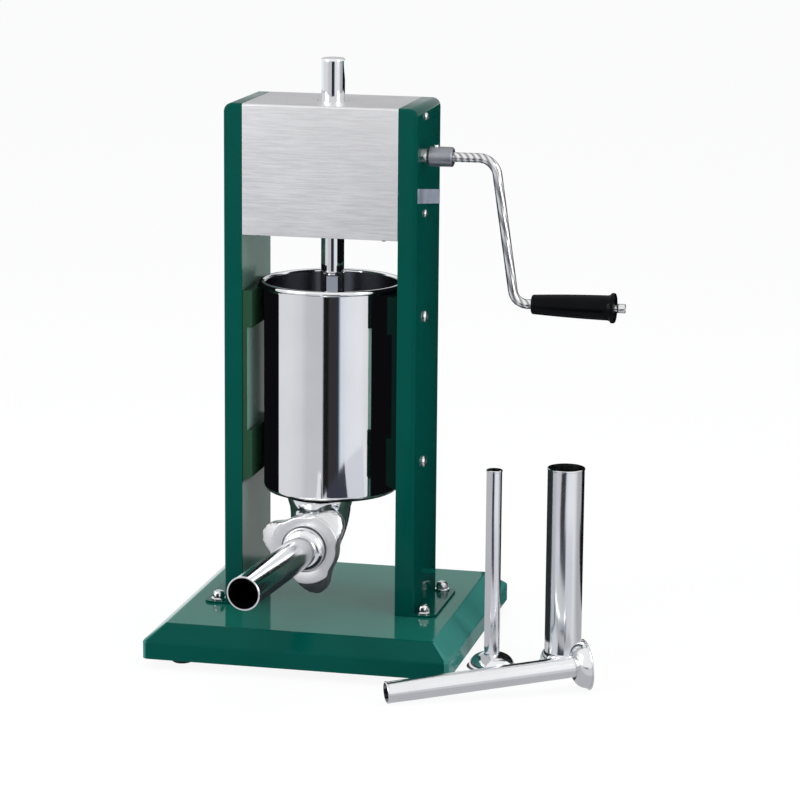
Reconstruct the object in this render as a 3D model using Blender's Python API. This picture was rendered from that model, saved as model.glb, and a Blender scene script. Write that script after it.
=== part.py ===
"""Vertical sausage stuffer of the 3 litre class: a hand crank and a gear pair drive a rack and its piston
down a steel cylinder, and the meat leaves through an elbow and a stuffing tube held by a three-lobed nut.

Metres, +Z up. The machine is laid out about the cylinder's axis with the floor at zero, the outlet to -Y and
the crank to +X. The parent empty then moves everything, so that the origin is the middle of the footprint.
"""

import math

import bmesh
import bpy
from mathutils import Matrix, Vector

# Shared fits
SEAT_GAP = 0.0003
HOLE_GAP = 0.0004
RUNNING_GAP = 0.0003
OVERRUN = 0.004
WELD_DISTANCE = 0.000001
SHARP_ANGLE = math.radians(35)
ROUND_PROFILE_SHARE = 0.5
ROUND_SIDES = 20
SMALL_SIDES = 12
TINY_SIDES = 10

# Cylinder
BORE_DIAMETER = 0.140
CYLINDER_WALL = 0.0012
CYLINDER_HEIGHT = 0.2225
CYLINDER_BOTTOM_Z = 0.163
CYLINDER_CORNER = 0.006
CYLINDER_SIDES = 36
RIM_BEAD_RADIUS = 0.0028
RIM_SIDES = 6

# Base pan and feet
BASE_WIDTH = 0.322
BASE_DEPTH = 0.322
BASE_TOP_Z = 0.044
BASE_SHEET = 0.002
BEVEL_WIDTH = 0.020
SKIRT_TOP_Z = 0.028
SKIRT_BOTTOM_Z = 0.010
SKIRT_CORNER = 0.007
TOP_CORNER = 0.003
FOOT_RADIUS = 0.011
FOOT_INSET = 0.034
FOOT_PAD_HEIGHT = 0.012
FOOT_STEM_RADIUS = 0.008
FOOT_TAPER = 0.001

# Columns
GEARBOX_WIDTH = 0.164
COLUMN_WIDTH = 0.0195
COLUMN_DEPTH = 0.114
COLUMN_SHEET = 0.002
COLUMN_TOP_RADIUS = 0.009
COLUMN_EDGE_RADIUS = 0.003
SIDE_PLATE_SHEET = 0.003
FOOT_FLANGE_WIDTH = 0.023
FOOT_FLANGE_CHAMFER = 0.009
FOOT_BOLT_SPACING = 0.094
FOOT_BOLT_OFFSET = 0.0090

# Gearbox
GEARBOX_CLEARANCE = 0.0525
GEARBOX_HEIGHT = 0.135
GEARBOX_SHEET = 0.0015
GEARBOX_FOLD_RADIUS = 0.0025
FLOOR_SCREW_INSET_X = 0.016
FLOOR_SCREW_INSET_Y = 0.009
FLOOR_LIP = 0.012
COVER_SCREW_DROP = 0.0115
COVER_SCREW_SPACING = 0.0995
COVER_SCREW_Y = -0.020

# Fasteners, as head radius, head height, shank radius
FOOT_BOLT = (0.0065, 0.008, 0.004)
BRACKET_BOLT = (0.0062, 0.004, 0.003)
COVER_SCREW = (0.0042, 0.0028, 0.002)
FLOOR_SCREW = (0.0036, 0.0022, 0.0015)
HEAD_CROWN_SHARE = 0.7
HEAD_CROWN_SIDES = 4
WASHER_HEIGHT = 0.0015
NUT_HEIGHT = 0.0065

# Cylinder brackets
BRACKET_TOP_EAR = 0.0385
BRACKET_LOW_EAR = 0.0445
BRACKET_LOW_EAR_BOTTOM = 0.025
BRACKET_STRIP = 0.005
BRACKET_GUSSET = 0.010
BRACKET_HOOK_ANGLE = math.radians(30)
BRACKET_FRONT_INSET = 0.001
BRACKET_BOLT_Y = -0.018
BRACKET_BOLT_DEPTH = 0.006
BRACKET_BOLT_RISE = 0.0135

# Gear train
GEAR_MODULE = 0.0015
PRESSURE_ANGLE = math.radians(20)
TOOTH_BACKLASH = 0.0003
INPUT_TEETH = 24
DRIVEN_TEETH = 42
PINION_TEETH = 14
ADDENDUM_SHARE = 1.0
DEDENDUM_SHARE = 1.25
RACK_ADDENDUM_SHARE = 0.8
GEAR_WIDTH = 0.010
GEAR_X = 0.048
GEAR_HUB_RADIUS = 0.012
GEAR_HUB_WIDTH = 0.018
PINION_WIDTH = 0.018
INPUT_SHAFT_Y = -0.033
GEAR_DROP = 0.050
INPUT_SHAFT_RADIUS = 0.005
PINION_SHAFT_RADIUS = 0.006
BUSH_WALL = 0.0022
BUSH_FLANGE = 0.002
BUSH_FLANGE_WIDTH = 0.002
COLLAR_LENGTH = 0.0055
RING_WALL = 0.002
RING_WIDTH = 0.0015

# Rack rod and piston
ROD_RADIUS = 0.0125
ROD_TOP_RISE = 0.0435
ROD_TOP_ROUND = 0.002
ROD_STROKE = 0.225
RACK_RUN_OUT = 0.012
GUIDE_WALL = 0.003
GUIDE_FLANGE = 0.0025
GUIDE_LENGTH = 0.009
PISTON_FLOOR_GAP = 0.003
PISTON_RUNNING_GAP = 0.0012
PISTON_HEIGHT = 0.022
PISTON_HUB_RADIUS = 0.021
PISTON_HUB_HEIGHT = 0.006
PISTON_RECESS_RADIUS = 0.014
PISTON_RECESS_DEPTH = 0.009
PISTON_CHAMFER = 0.002
SEAL_HEIGHT = 0.010
SEAL_DEPTH = 0.004
SPIGOT_RADIUS = 0.005
PISTON_NUT_RADIUS = 0.0095
PISTON_NUT_HEIGHT = 0.006
PISTON_WASHER_RADIUS = 0.012
PISTON_WASHER_HEIGHT = 0.0015
VALVE_OFFSET = 0.044
VALVE_STEM_RADIUS = 0.005
VALVE_HEAD_RADIUS = 0.008
VALVE_HEAD_HEIGHT = 0.003
VALVE_FOOT_RADIUS = 0.007
VALVE_FOOT_HEIGHT = 0.0015
VALVE_FOOT_DEPTH = 0.0025
VALVE_LIFT = 0.004

# Outlet elbow, gasket, lobed nut and mounted tube
OUTLET_TURN = math.radians(4.6)
OUTLET_Z = 0.118
OUTLET_OFFSET = 0.036
OUTLET_HOLE_RADIUS = 0.028
FLARE_RADIUS = 0.0348
FLARE_RIM = 0.002
NECK_RADIUS = 0.0325
ELBOW_RADIUS = 0.0255
ELBOW_WALL = 0.0025
ELBOW_BEND_RADIUS = 0.035
ELBOW_STEPS = 5
THREAD_RADIUS = 0.028
THREAD_LENGTH = 0.011
GASKET_HEIGHT = 0.0015
NUT_OPENING_RADIUS = 0.0245
NUT_BODY_RADIUS = 0.034
NUT_LOBE_RADIUS = 0.050
NUT_LENGTH = 0.018
NUT_LIP = 0.004
NUT_CHAMFER = 0.0015
NUT_SIDES = 48
NUT_LOBES = 3
LOBE_FACE_RADIUS = 0.038
LOBE_SLOPE_DEPTH = 0.010
LOBE_TIP_ANGLE = math.radians(9)
LOBE_ROOT_ANGLE = math.radians(31)
LOBE_FIRST_ANGLE = math.radians(45)
TUBE_WALL = 0.001
TUBE_FLANGE_RADIUS = 0.026
TUBE_FLANGE_HEIGHT = 0.0015
DOME_RADIUS = 0.0236
DOME_HEIGHT = 0.013
DOME_SHARES = ((0.0, 0.0), (0.25, 0.45), (0.65, 0.78), (1.0, 1.0))
MOUNTED_TUBE = (0.0335, 0.188)

# Spare tubes, as outer diameter and length
SPARE_TUBE_LENGTH = 0.209
THIN_TUBE = (0.016, SPARE_TUBE_LENGTH)
WIDE_TUBE = (0.038, SPARE_TUBE_LENGTH)
LYING_TUBE = (0.022, SPARE_TUBE_LENGTH)
THIN_TUBE_GAP = 0.0006
THIN_TUBE_Y = -0.068
WIDE_TUBE_STEP = 0.0694
WIDE_TUBE_Y = -0.040
LYING_TUBE_STEP = 0.0382
LYING_TUBE_Y = -0.122
LYING_TUBE_HEADING = math.radians(207.4)

# Crank and grip
HUB_RADIUS = 0.0102
HUB_LENGTH = 0.026
HUB_CHAMFER = 0.002
HUB_GAP = 0.0012
HUB_SOCKET = 0.011
ARM_RADIUS = 0.005
CRANK_DROP = 0.1475
ARM_ELBOW_X = 0.177
ARM_WRIST_X = 0.199
ARM_ELBOW_BEND = 0.019
ARM_WRIST_BEND = 0.015
ARM_BEND_STEPS = 5
GRIP_START_X = 0.217
GRIP_LENGTH = 0.086
GRIP_RADIUS = 0.010
GRIP_SWELL_RADIUS = 0.0128
GRIP_FLANGE_RADIUS = 0.0154
GRIP_FLANGE_WIDTH = 0.005
GRIP_ROUND = 0.0015
SPINDLE_RADIUS = 0.0036
SPINDLE_END = 0.005
END_CAP_RADIUS = 0.0047
END_CAP_LENGTH = 0.008
END_CAP_GAP = 0.002
END_CAP_WALL = 0.0018
SET_SCREW_RADIUS = 0.003
SET_SCREW_STANDS = 0.0015

# Sizes that follow from the ones above
BORE_RADIUS = BORE_DIAMETER / 2
CYLINDER_RADIUS = BORE_RADIUS + CYLINDER_WALL
RIM_CENTRE_RADIUS = CYLINDER_RADIUS + RIM_BEAD_RADIUS - CYLINDER_WALL / 2
RIM_CENTRE_Z = CYLINDER_BOTTOM_Z + CYLINDER_HEIGHT - RIM_BEAD_RADIUS
INNER_X = GEARBOX_WIDTH / 2
OUTER_X = INNER_X + COLUMN_WIDTH
COLUMN_BOTTOM_Z = BASE_TOP_Z + SEAT_GAP
GEARBOX_BOTTOM_Z = CYLINDER_BOTTOM_Z + CYLINDER_HEIGHT + GEARBOX_CLEARANCE
GEARBOX_TOP_Z = GEARBOX_BOTTOM_Z + GEARBOX_HEIGHT
GEAR_Z = GEARBOX_TOP_Z - GEAR_DROP
CHEEK_X = INNER_X - SEAT_GAP
GEAR_CENTRES = GEAR_MODULE * (INPUT_TEETH + DRIVEN_TEETH) / 2
PINION_SHAFT_Y = INPUT_SHAFT_Y + GEAR_CENTRES
PINION_PITCH_RADIUS = GEAR_MODULE * PINION_TEETH / 2
RACK_PITCH_Y = PINION_SHAFT_Y - PINION_PITCH_RADIUS
ROD_TOP_Z = GEARBOX_TOP_Z + ROD_TOP_RISE
PISTON_Z = CYLINDER_BOTTOM_Z + CYLINDER_WALL + PISTON_FLOOR_GAP
PISTON_RADIUS = BORE_RADIUS - PISTON_RUNNING_GAP
ROD_BOTTOM_Z = PISTON_Z + PISTON_HEIGHT + PISTON_HUB_HEIGHT + SEAT_GAP
BUSH_FLANGE_X = CHEEK_X - GEARBOX_SHEET - SEAT_GAP
PLATE_BACK_X = INNER_X + SIDE_PLATE_SHEET
ELBOW_DROP_Z = OUTLET_Z + ELBOW_BEND_RADIUS
MOUTH_REACH = OUTLET_OFFSET + ELBOW_BEND_RADIUS + THREAD_LENGTH
TUBE_REACH = MOUTH_REACH + SEAT_GAP + GASKET_HEIGHT + SEAT_GAP
NUT_FRONT_REACH = TUBE_REACH + TUBE_FLANGE_HEIGHT + SEAT_GAP + NUT_LIP
BRACKET_TOP_Z = RIM_CENTRE_Z - RIM_BEAD_RADIUS - SEAT_GAP
BRACKET_BOTTOM_Z = CYLINDER_BOTTOM_Z + BRACKET_LOW_EAR_BOTTOM
BRACKET_BOLT_HEIGHTS = (
    BRACKET_TOP_Z - BRACKET_TOP_EAR + BRACKET_BOLT_RISE,
    BRACKET_BOTTOM_Z + BRACKET_BOLT_RISE,
)
COVER_SCREW_HEIGHTS = (
    GEARBOX_TOP_Z - COVER_SCREW_DROP,
    GEARBOX_TOP_Z - COVER_SCREW_DROP - COVER_SCREW_SPACING,
)
GRIP_END_X = GRIP_START_X + GRIP_LENGTH
THIN_TUBE_X = BASE_WIDTH / 2 + TUBE_FLANGE_RADIUS + THIN_TUBE_GAP
WIDE_TUBE_X = THIN_TUBE_X + WIDE_TUBE_STEP
LYING_TUBE_X = WIDE_TUBE_X + LYING_TUBE_STEP


def clear_scene():
    for old in list(bpy.data.objects):
        bpy.data.objects.remove(old, do_unlink=True)


def finish(name, colour, roughness, metallic):
    look = bpy.data.materials.new(name)
    look.use_nodes = True
    surface = look.node_tree.nodes["Principled BSDF"]
    surface.inputs["Base Color"].default_value = (*colour, 1)
    surface.inputs["Roughness"].default_value = roughness
    surface.inputs["Metallic"].default_value = metallic
    look.diffuse_color = (*colour, 1)
    return look


def add_empty(name, parent=None, place=(0, 0, 0), turn=(0, 0, 0)):
    empty = bpy.data.objects.new(name, None)
    bpy.context.scene.collection.objects.link(empty)
    empty.parent = parent
    empty.location = place
    empty.rotation_euler = turn
    return empty


def add_piece(name, shape, look, parent, place=(0, 0, 0), turn=(0, 0, 0)):
    mesh = bpy.data.meshes.new(name)
    shape.to_mesh(mesh)
    shape.free()
    mesh.shade_smooth()
    mesh.set_sharp_from_angle(angle=SHARP_ANGLE)
    if look:
        mesh.materials.append(look)
    piece = bpy.data.objects.new(name, mesh)
    bpy.context.scene.collection.objects.link(piece)
    piece.parent = parent
    piece.location = place
    piece.rotation_euler = turn
    return piece


def add_boolean(target, name, shape, operation, place=(0, 0, 0), turn=(0, 0, 0)):
    """Cuts the shape from the target, or joins it on, in the frame that the target stands in."""
    tool = add_piece(name, shape, None, target.parent, place, turn)
    tool.hide_render = True
    tool.display_type = "WIRE"
    modifier = target.modifiers.new(name, "BOOLEAN")
    modifier.operation = operation
    modifier.object = tool


def turned(profile, sides=ROUND_SIDES):
    """A solid turned about Z from (radius, height) points. It closes on the axis, or else on itself."""
    shape = bmesh.new()
    points = [shape.verts.new((radius, 0, height)) for radius, height in profile]
    on_axis = profile[0][0] == 0 and profile[-1][0] == 0
    following = points[1:] if on_axis else points[1:] + points[:1]
    edges = [shape.edges.new(pair) for pair in zip(points, following)]
    bmesh.ops.spin(
        shape, geom=points + edges, axis=(0, 0, 1), angle=math.tau, steps=sides, use_merge=True
    )
    bmesh.ops.remove_doubles(shape, verts=shape.verts, dist=WELD_DISTANCE)
    bmesh.ops.recalc_face_normals(shape, faces=shape.faces)
    return shape


def lofted(rings, loop=False):
    """A skin over rings that hold as many points each, capped at its ends, or closed on itself as a loop."""
    shape = bmesh.new()
    rows = [[shape.verts.new(point) for point in ring] for ring in rings]
    following = rows[1:] + rows[:1] if loop else rows[1:]
    for low, high in zip(rows, following):
        for i, corner in enumerate(low):
            j = (i + 1) % len(low)
            shape.faces.new((corner, low[j], high[j], high[i]))
    if not loop:
        shape.faces.new(rows[0])
        shape.faces.new(rows[-1])
    bmesh.ops.recalc_face_normals(shape, faces=shape.faces)
    return shape


def along(axis, first, second, distance):
    """The point at this distance along an axis, with its two other coordinates in X, Y, Z order."""
    if axis == "X":
        return (distance, first, second)
    if axis == "Y":
        return (first, distance, second)
    return (first, second, distance)


def prism(outline, low, high, axis="Z"):
    """The outline, given in the plane across the axis, drawn out from low to high."""
    return lofted([[along(axis, a, b, end) for a, b in outline] for end in (low, high)])


def box_outline(low, high):
    return [low, (high[0], low[1]), high, (low[0], high[1])]


def arc(centre, radius, start, end, steps):
    """Points on an arc, both ends included."""
    angles = [start + (end - start) * i / steps for i in range(steps + 1)]
    return [(centre[0] + radius * math.cos(t), centre[1] + radius * math.sin(t)) for t in angles]


def circle(radius, sides=SMALL_SIDES, centre=(0, 0), start=0):
    return arc(centre, radius, start, start + math.tau, sides)[:-1]


def pegs(centres, radius, low, high, axis="X", sides=SMALL_SIDES):
    """Round bars along an axis, as one cutter. Their flats stand at the radius, so no hole is tighter."""
    shape = bmesh.new()
    half_side = math.pi / sides
    corner_radius = radius / math.cos(half_side)
    for centre in centres:
        bar = prism(circle(corner_radius, sides, centre, half_side), low, high, axis)
        mesh = bpy.data.meshes.new("bar")
        bar.to_mesh(mesh)
        bar.free()
        shape.from_mesh(mesh)
        bpy.data.meshes.remove(mesh)
    return shape


def rounded_rectangle(half_width, half_depth, corner, steps=2):
    points = []
    signs = ((1, 1), (-1, 1), (-1, -1), (1, -1))
    for quarter, (sign_x, sign_y) in enumerate(signs):
        centre = (sign_x * (half_width - corner), sign_y * (half_depth - corner))
        start = quarter * math.pi / 2
        points += arc(centre, corner, start, start + math.pi / 2, steps)
    return points


def hollow_pan(outer, inner):
    """A folded pan, open below, from (half width, half depth, corner, height) rings, each list top first."""
    rings = [
        [(x, y, height) for x, y in rounded_rectangle(width, depth, corner)]
        for width, depth, corner, height in inner + outer[::-1]
    ]
    return lofted(rings)


def base_pan(look, frame):
    half_width = BASE_WIDTH / 2
    half_depth = BASE_DEPTH / 2
    outer = [
        (half_width - BEVEL_WIDTH, half_depth - BEVEL_WIDTH, TOP_CORNER, BASE_TOP_Z),
        (half_width, half_depth, SKIRT_CORNER, SKIRT_TOP_Z),
        (half_width, half_depth, SKIRT_CORNER, SKIRT_BOTTOM_Z),
    ]
    bevel_slope = (BASE_TOP_Z - SKIRT_TOP_Z) / BEVEL_WIDTH
    fold_shift = BASE_SHEET * bevel_slope / 2
    skirt_corner = SKIRT_CORNER - BASE_SHEET
    top_inset = BEVEL_WIDTH + fold_shift
    inner = [
        (half_width - top_inset, half_depth - top_inset, TOP_CORNER, BASE_TOP_Z - BASE_SHEET),
        (half_width - BASE_SHEET, half_depth - BASE_SHEET, skirt_corner, SKIRT_TOP_Z - fold_shift),
        (half_width - BASE_SHEET, half_depth - BASE_SHEET, skirt_corner, SKIRT_BOTTOM_Z),
    ]
    pan = add_piece("base_pan", hollow_pan(outer, inner), look, frame)
    holes = pegs(foot_bolt_places(), FOOT_BOLT[2] + HOLE_GAP, SKIRT_TOP_Z, BASE_TOP_Z + OVERRUN, "Z")
    add_boolean(pan, "base_pan_holes", holes, "DIFFERENCE")


def foot_bolt_places():
    reach = OUTER_X + FOOT_BOLT_OFFSET
    half = FOOT_BOLT_SPACING / 2
    return [(side * reach, end * half) for side in (-1, 1) for end in (-1, 1)]


def rubber_feet(look, frame):
    stem_top = BASE_TOP_Z - BASE_SHEET - SEAT_GAP
    profile = [
        (0, 0),
        (FOOT_RADIUS - FOOT_TAPER, 0),
        (FOOT_RADIUS, FOOT_TAPER),
        (FOOT_RADIUS, FOOT_PAD_HEIGHT),
        (FOOT_STEM_RADIUS, FOOT_PAD_HEIGHT + FOOT_TAPER),
        (FOOT_STEM_RADIUS, stem_top),
        (0, stem_top),
    ]
    places = [
        (side * (BASE_WIDTH / 2 - FOOT_INSET), end * (BASE_DEPTH / 2 - FOOT_INSET), 0)
        for end in (-1, 1)
        for side in (-1, 1)
    ]
    for number, place in enumerate(places, 1):
        add_piece(f"rubber_foot_{number}", turned(profile, SMALL_SIDES), look, frame, place)


def side_view_outline(side, inset, low):
    """The column's front view: a straight inner edge, and an outer edge that rolls over into the top."""
    outer = OUTER_X - inset
    top = GEARBOX_TOP_Z - inset
    bend = COLUMN_TOP_RADIUS - inset
    roll = arc((outer - bend, top - bend), bend, 0, math.pi / 2, 3)
    points = [(INNER_X, low), (outer, low)] + roll + [(INNER_X, top)]
    return [(side * x, z) for x, z in points]


def column_shell(side):
    """A deep folded channel, open towards the cylinder and below."""
    half = COLUMN_DEPTH / 2
    shape = prism(side_view_outline(side, 0, COLUMN_BOTTOM_Z), -half, half, "Y")
    folds = [
        edge
        for edge in shape.edges
        if abs(edge.verts[0].co.y - edge.verts[1].co.y) < WELD_DISTANCE
        and max(abs(v.co.x) for v in edge.verts) > INNER_X + WELD_DISTANCE
        and min(v.co.z for v in edge.verts) > COLUMN_BOTTOM_Z - WELD_DISTANCE
        and max(v.co.z for v in edge.verts) > COLUMN_BOTTOM_Z + WELD_DISTANCE
    ]
    bend = ROUND_PROFILE_SHARE
    bmesh.ops.bevel(shape, geom=folds, offset=COLUMN_EDGE_RADIUS, segments=2, affect="EDGES", profile=bend)
    return shape


def foot_flange(side):
    half = COLUMN_DEPTH / 2
    outer = OUTER_X + FOOT_FLANGE_WIDTH
    inner = OUTER_X - COLUMN_SHEET
    chamfer = FOOT_FLANGE_CHAMFER
    outline = [
        (inner, -half),
        (outer - chamfer, -half),
        (outer, chamfer - half),
        (outer, half - chamfer),
        (outer - chamfer, half),
        (inner, half),
    ]
    outline = [(side * x, y) for x, y in outline]
    return prism(outline, COLUMN_BOTTOM_Z, COLUMN_BOTTOM_Z + COLUMN_SHEET)


def web_holes(side):
    """The holes through a column's web, as (centres, radius) groups in Y and Z."""
    groups = [
        ([(BRACKET_BOLT_Y, z) for z in BRACKET_BOLT_HEIGHTS], BRACKET_BOLT[2] + HOLE_GAP),
        ([(COVER_SCREW_Y, z) for z in COVER_SCREW_HEIGHTS], COVER_SCREW[2] + HOLE_GAP),
    ]
    if side > 0:
        groups.append(([(INPUT_SHAFT_Y, GEAR_Z)], bush_radius(INPUT_SHAFT_RADIUS) + HOLE_GAP))
    return groups


def drill_sideways(target, side, groups, inner, outer):
    low, high = sorted((side * inner, side * outer))
    for number, (centres, radius) in enumerate(groups):
        holes = pegs(centres, radius, low, high, "X", SMALL_SIDES)
        add_boolean(target, f"{target.name}_holes_{number}", holes, "DIFFERENCE")


def column(side, name, look, frame):
    body = add_piece(name, column_shell(side), look, frame)
    half = COLUMN_DEPTH / 2 - COLUMN_SHEET
    hollow = side_view_outline(side, COLUMN_SHEET, COLUMN_BOTTOM_Z - OVERRUN)
    opened = [(x if abs(x) > INNER_X else x - side * OVERRUN, z) for x, z in hollow]
    add_boolean(body, f"{name}_hollow", prism(opened, -half, half, "Y"), "DIFFERENCE")
    add_boolean(body, f"{name}_flange", foot_flange(side), "UNION")
    places = [place for place in foot_bolt_places() if place[0] * side > 0]
    top = COLUMN_BOTTOM_Z + COLUMN_SHEET + OVERRUN
    holes = pegs(places, FOOT_BOLT[2] + HOLE_GAP, COLUMN_BOTTOM_Z - OVERRUN, top, "Z")
    add_boolean(body, f"{name}_bolt_holes", holes, "DIFFERENCE")
    drill_sideways(body, side, web_holes(side), PLATE_BACK_X + SEAT_GAP, OUTER_X + OVERRUN)


def side_plate(side, name, look, frame):
    """The flat plate that closes a column towards the cylinder and carries the shafts."""
    half = COLUMN_DEPTH / 2 - COLUMN_SHEET - SEAT_GAP
    top = GEARBOX_TOP_Z - COLUMN_SHEET - SEAT_GAP
    low, high = sorted((side * INNER_X, side * PLATE_BACK_X))
    shape = prism(box_outline((-half, COLUMN_BOTTOM_Z), (half, top)), low, high, "X")
    plate = add_piece(name, shape, look, frame)
    drill_sideways(plate, side, plate_holes(), INNER_X - OVERRUN, PLATE_BACK_X + OVERRUN)


def plate_holes():
    return [
        ([(BRACKET_BOLT_Y, z) for z in BRACKET_BOLT_HEIGHTS], BRACKET_BOLT[2] + HOLE_GAP),
        ([(COVER_SCREW_Y, z) for z in COVER_SCREW_HEIGHTS], COVER_SCREW[2] + HOLE_GAP),
        ([(INPUT_SHAFT_Y, GEAR_Z)], bush_radius(INPUT_SHAFT_RADIUS) + HOLE_GAP),
        ([(PINION_SHAFT_Y, GEAR_Z)], bush_radius(PINION_SHAFT_RADIUS) + HOLE_GAP),
    ]


def bush_radius(shaft_radius):
    return shaft_radius + RUNNING_GAP + BUSH_WALL


def gearbox_cover(look, frame):
    """A folded steel box, open below, between the two side plates."""
    half_depth = COLUMN_DEPTH / 2
    low = GEARBOX_BOTTOM_Z
    fold = GEARBOX_FOLD_RADIUS
    top_front = arc((-half_depth + fold, GEARBOX_TOP_Z - fold), fold, math.pi, math.pi / 2, 3)
    top_rear = arc((half_depth - fold, GEARBOX_TOP_Z - fold), fold, math.pi / 2, 0, 3)
    outline = [(-half_depth, low)] + top_front + top_rear + [(half_depth, low)]
    cover = add_piece("gearbox_cover", prism(outline, -CHEEK_X, CHEEK_X, "X"), look, frame)
    sheet = GEARBOX_SHEET
    inside = box_outline(
        (-half_depth + sheet, low - OVERRUN), (half_depth - sheet, GEARBOX_TOP_Z - sheet)
    )
    hollow = prism(inside, sheet - CHEEK_X, CHEEK_X - sheet, "X")
    add_boolean(cover, "gearbox_hollow", hollow, "DIFFERENCE")
    top = GEARBOX_TOP_Z
    rod_hole = pegs([(0, 0)], guide_radius() + HOLE_GAP, top - OVERRUN, top + OVERRUN, "Z", ROUND_SIDES)
    add_boolean(cover, "gearbox_rod_hole", rod_hole, "DIFFERENCE")
    for side in (-1, 1):
        low_x, high_x = sorted((side * (CHEEK_X - OVERRUN), side * (CHEEK_X + OVERRUN)))
        for number, (centres, radius) in enumerate(plate_holes()[1:]):
            holes = pegs(centres, radius, low_x, high_x, "X")
            add_boolean(cover, f"gearbox_cheek_holes_{side}_{number}", holes, "DIFFERENCE")


def guide_radius():
    return ROD_RADIUS + RUNNING_GAP + GUIDE_WALL


def floor_screw_places():
    reach_x = CHEEK_X - FLOOR_SCREW_INSET_X
    reach_y = COLUMN_DEPTH / 2 - FLOOR_SCREW_INSET_Y
    return [(side * reach_x, end * reach_y) for side in (-1, 1) for end in (-1, 1)]


def gearbox_floor(look, frame):
    """The tray that closes the gearbox from below, with a lip turned up along its front and rear."""
    inner_y = COLUMN_DEPTH / 2 - GEARBOX_SHEET - SEAT_GAP
    inner_x = CHEEK_X - GEARBOX_SHEET - SEAT_GAP
    low = GEARBOX_BOTTOM_Z
    sheet = GEARBOX_SHEET
    outline = [
        (-inner_y, low),
        (inner_y, low),
        (inner_y, low + FLOOR_LIP),
        (inner_y - sheet, low + FLOOR_LIP),
        (inner_y - sheet, low + sheet),
        (sheet - inner_y, low + sheet),
        (sheet - inner_y, low + FLOOR_LIP),
        (-inner_y, low + FLOOR_LIP),
    ]
    tray = add_piece("gearbox_floor", prism(outline, -inner_x, inner_x, "X"), look, frame)
    rod_hole = pegs([(0, 0)], guide_radius() + HOLE_GAP, low - OVERRUN, low + OVERRUN, "Z", ROUND_SIDES)
    add_boolean(tray, "gearbox_floor_rod_hole", rod_hole, "DIFFERENCE")
    holes = pegs(floor_screw_places(), FLOOR_SCREW[2] + HOLE_GAP, low - OVERRUN, low + OVERRUN, "Z")
    add_boolean(tray, "gearbox_floor_screw_holes", holes, "DIFFERENCE")


def rod_guide(name, look, frame, sheet_z, inward):
    """A flanged bush in the gearbox sheet, flush with the sheet's outer face. Its flange lies inside."""
    inner = ROD_RADIUS + RUNNING_GAP
    sleeve = guide_radius()
    flange = sleeve + GUIDE_FLANGE
    seat = GEARBOX_SHEET + SEAT_GAP
    profile = [
        (inner, 0),
        (sleeve, 0),
        (sleeve, seat),
        (flange, seat),
        (flange, seat + GUIDE_FLANGE),
        (sleeve, seat + GUIDE_FLANGE),
        (sleeve, GUIDE_LENGTH),
        (inner, GUIDE_LENGTH),
    ]
    profile = [(radius, inward * height) for radius, height in profile]
    add_piece(name, turned(profile), look, frame, (0, 0, sheet_z))


def button_head(fastener, grip_length):
    """A round-headed screw along Z. Its head's underside is at zero, and its shank reaches down."""
    head, height, shank = fastener
    return [
        (0, height),
        (head * HEAD_CROWN_SHARE, height - head / HEAD_CROWN_SIDES),
        (head, height / HEAD_CROWN_SIDES),
        (head, 0),
        (shank, 0),
        (shank, -grip_length),
        (0, -grip_length),
    ]


def hexagon_ring(radius, height):
    """Twelve points on a hexagon, at its corners and the middles of its sides."""
    middle = radius * math.cos(math.pi / 6)
    return [
        ((middle if i % 2 else radius) * math.cos(i * math.pi / 6),
         (middle if i % 2 else radius) * math.sin(i * math.pi / 6),
         height)
        for i in range(SMALL_SIDES)
    ]


def round_ring(radius, height):
    return [(x, y, height) for x, y in circle(radius)]


def foot_bolt_shape():
    """A bolt with its washer and domed hexagon nut above the sheets, and its head below them."""
    radius, height, shank = FOOT_BOLT
    washer = radius + WASHER_HEIGHT
    grip = COLUMN_SHEET + BASE_SHEET + SEAT_GAP * 3
    crown = radius * math.cos(math.pi / 6)
    rings = [
        round_ring(crown / 2, WASHER_HEIGHT + height),
        round_ring(crown, WASHER_HEIGHT + height - crown / 4),
        hexagon_ring(radius, WASHER_HEIGHT + height / 2),
        hexagon_ring(radius, WASHER_HEIGHT),
        round_ring(washer, WASHER_HEIGHT),
        round_ring(washer, 0),
        round_ring(shank, 0),
        round_ring(shank, -grip),
        hexagon_ring(radius, -grip),
        hexagon_ring(radius, -grip - NUT_HEIGHT),
    ]
    return lofted(rings)


def fasteners(look, frame):
    seat_z = COLUMN_BOTTOM_Z + COLUMN_SHEET + SEAT_GAP
    for number, (x, y) in enumerate(foot_bolt_places(), 1):
        add_piece(f"foot_bolt_{number}", foot_bolt_shape(), look, frame, (x, y, seat_z))
    number = 0
    for side in (-1, 1):
        for height in BRACKET_BOLT_HEIGHTS:
            number += 1
            grip = COLUMN_WIDTH + SEAT_GAP + BRACKET_BOLT_DEPTH
            place = (side * (OUTER_X + SEAT_GAP), BRACKET_BOLT_Y, height)
            shape = turned(button_head(BRACKET_BOLT, grip), SMALL_SIDES)
            add_piece(f"bracket_bolt_{number}", shape, look, frame, place, (0, side * math.pi / 2, 0))
    number = 0
    for side in (-1, 1):
        for height in COVER_SCREW_HEIGHTS:
            number += 1
            grip = COLUMN_WIDTH + SEAT_GAP * 2 + GEARBOX_SHEET + FLOOR_SCREW[1]
            place = (side * (OUTER_X + SEAT_GAP), COVER_SCREW_Y, height)
            shape = turned(button_head(COVER_SCREW, grip), TINY_SIDES)
            add_piece(f"cover_screw_{number}", shape, look, frame, place, (0, side * math.pi / 2, 0))
    for number, (x, y) in enumerate(floor_screw_places(), 1):
        shape = turned(button_head(FLOOR_SCREW, GEARBOX_SHEET * 3), TINY_SIDES)
        place = (x, y, GEARBOX_BOTTOM_Z - SEAT_GAP)
        add_piece(f"floor_screw_{number}", shape, look, frame, place, (math.pi, 0, 0))


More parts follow.
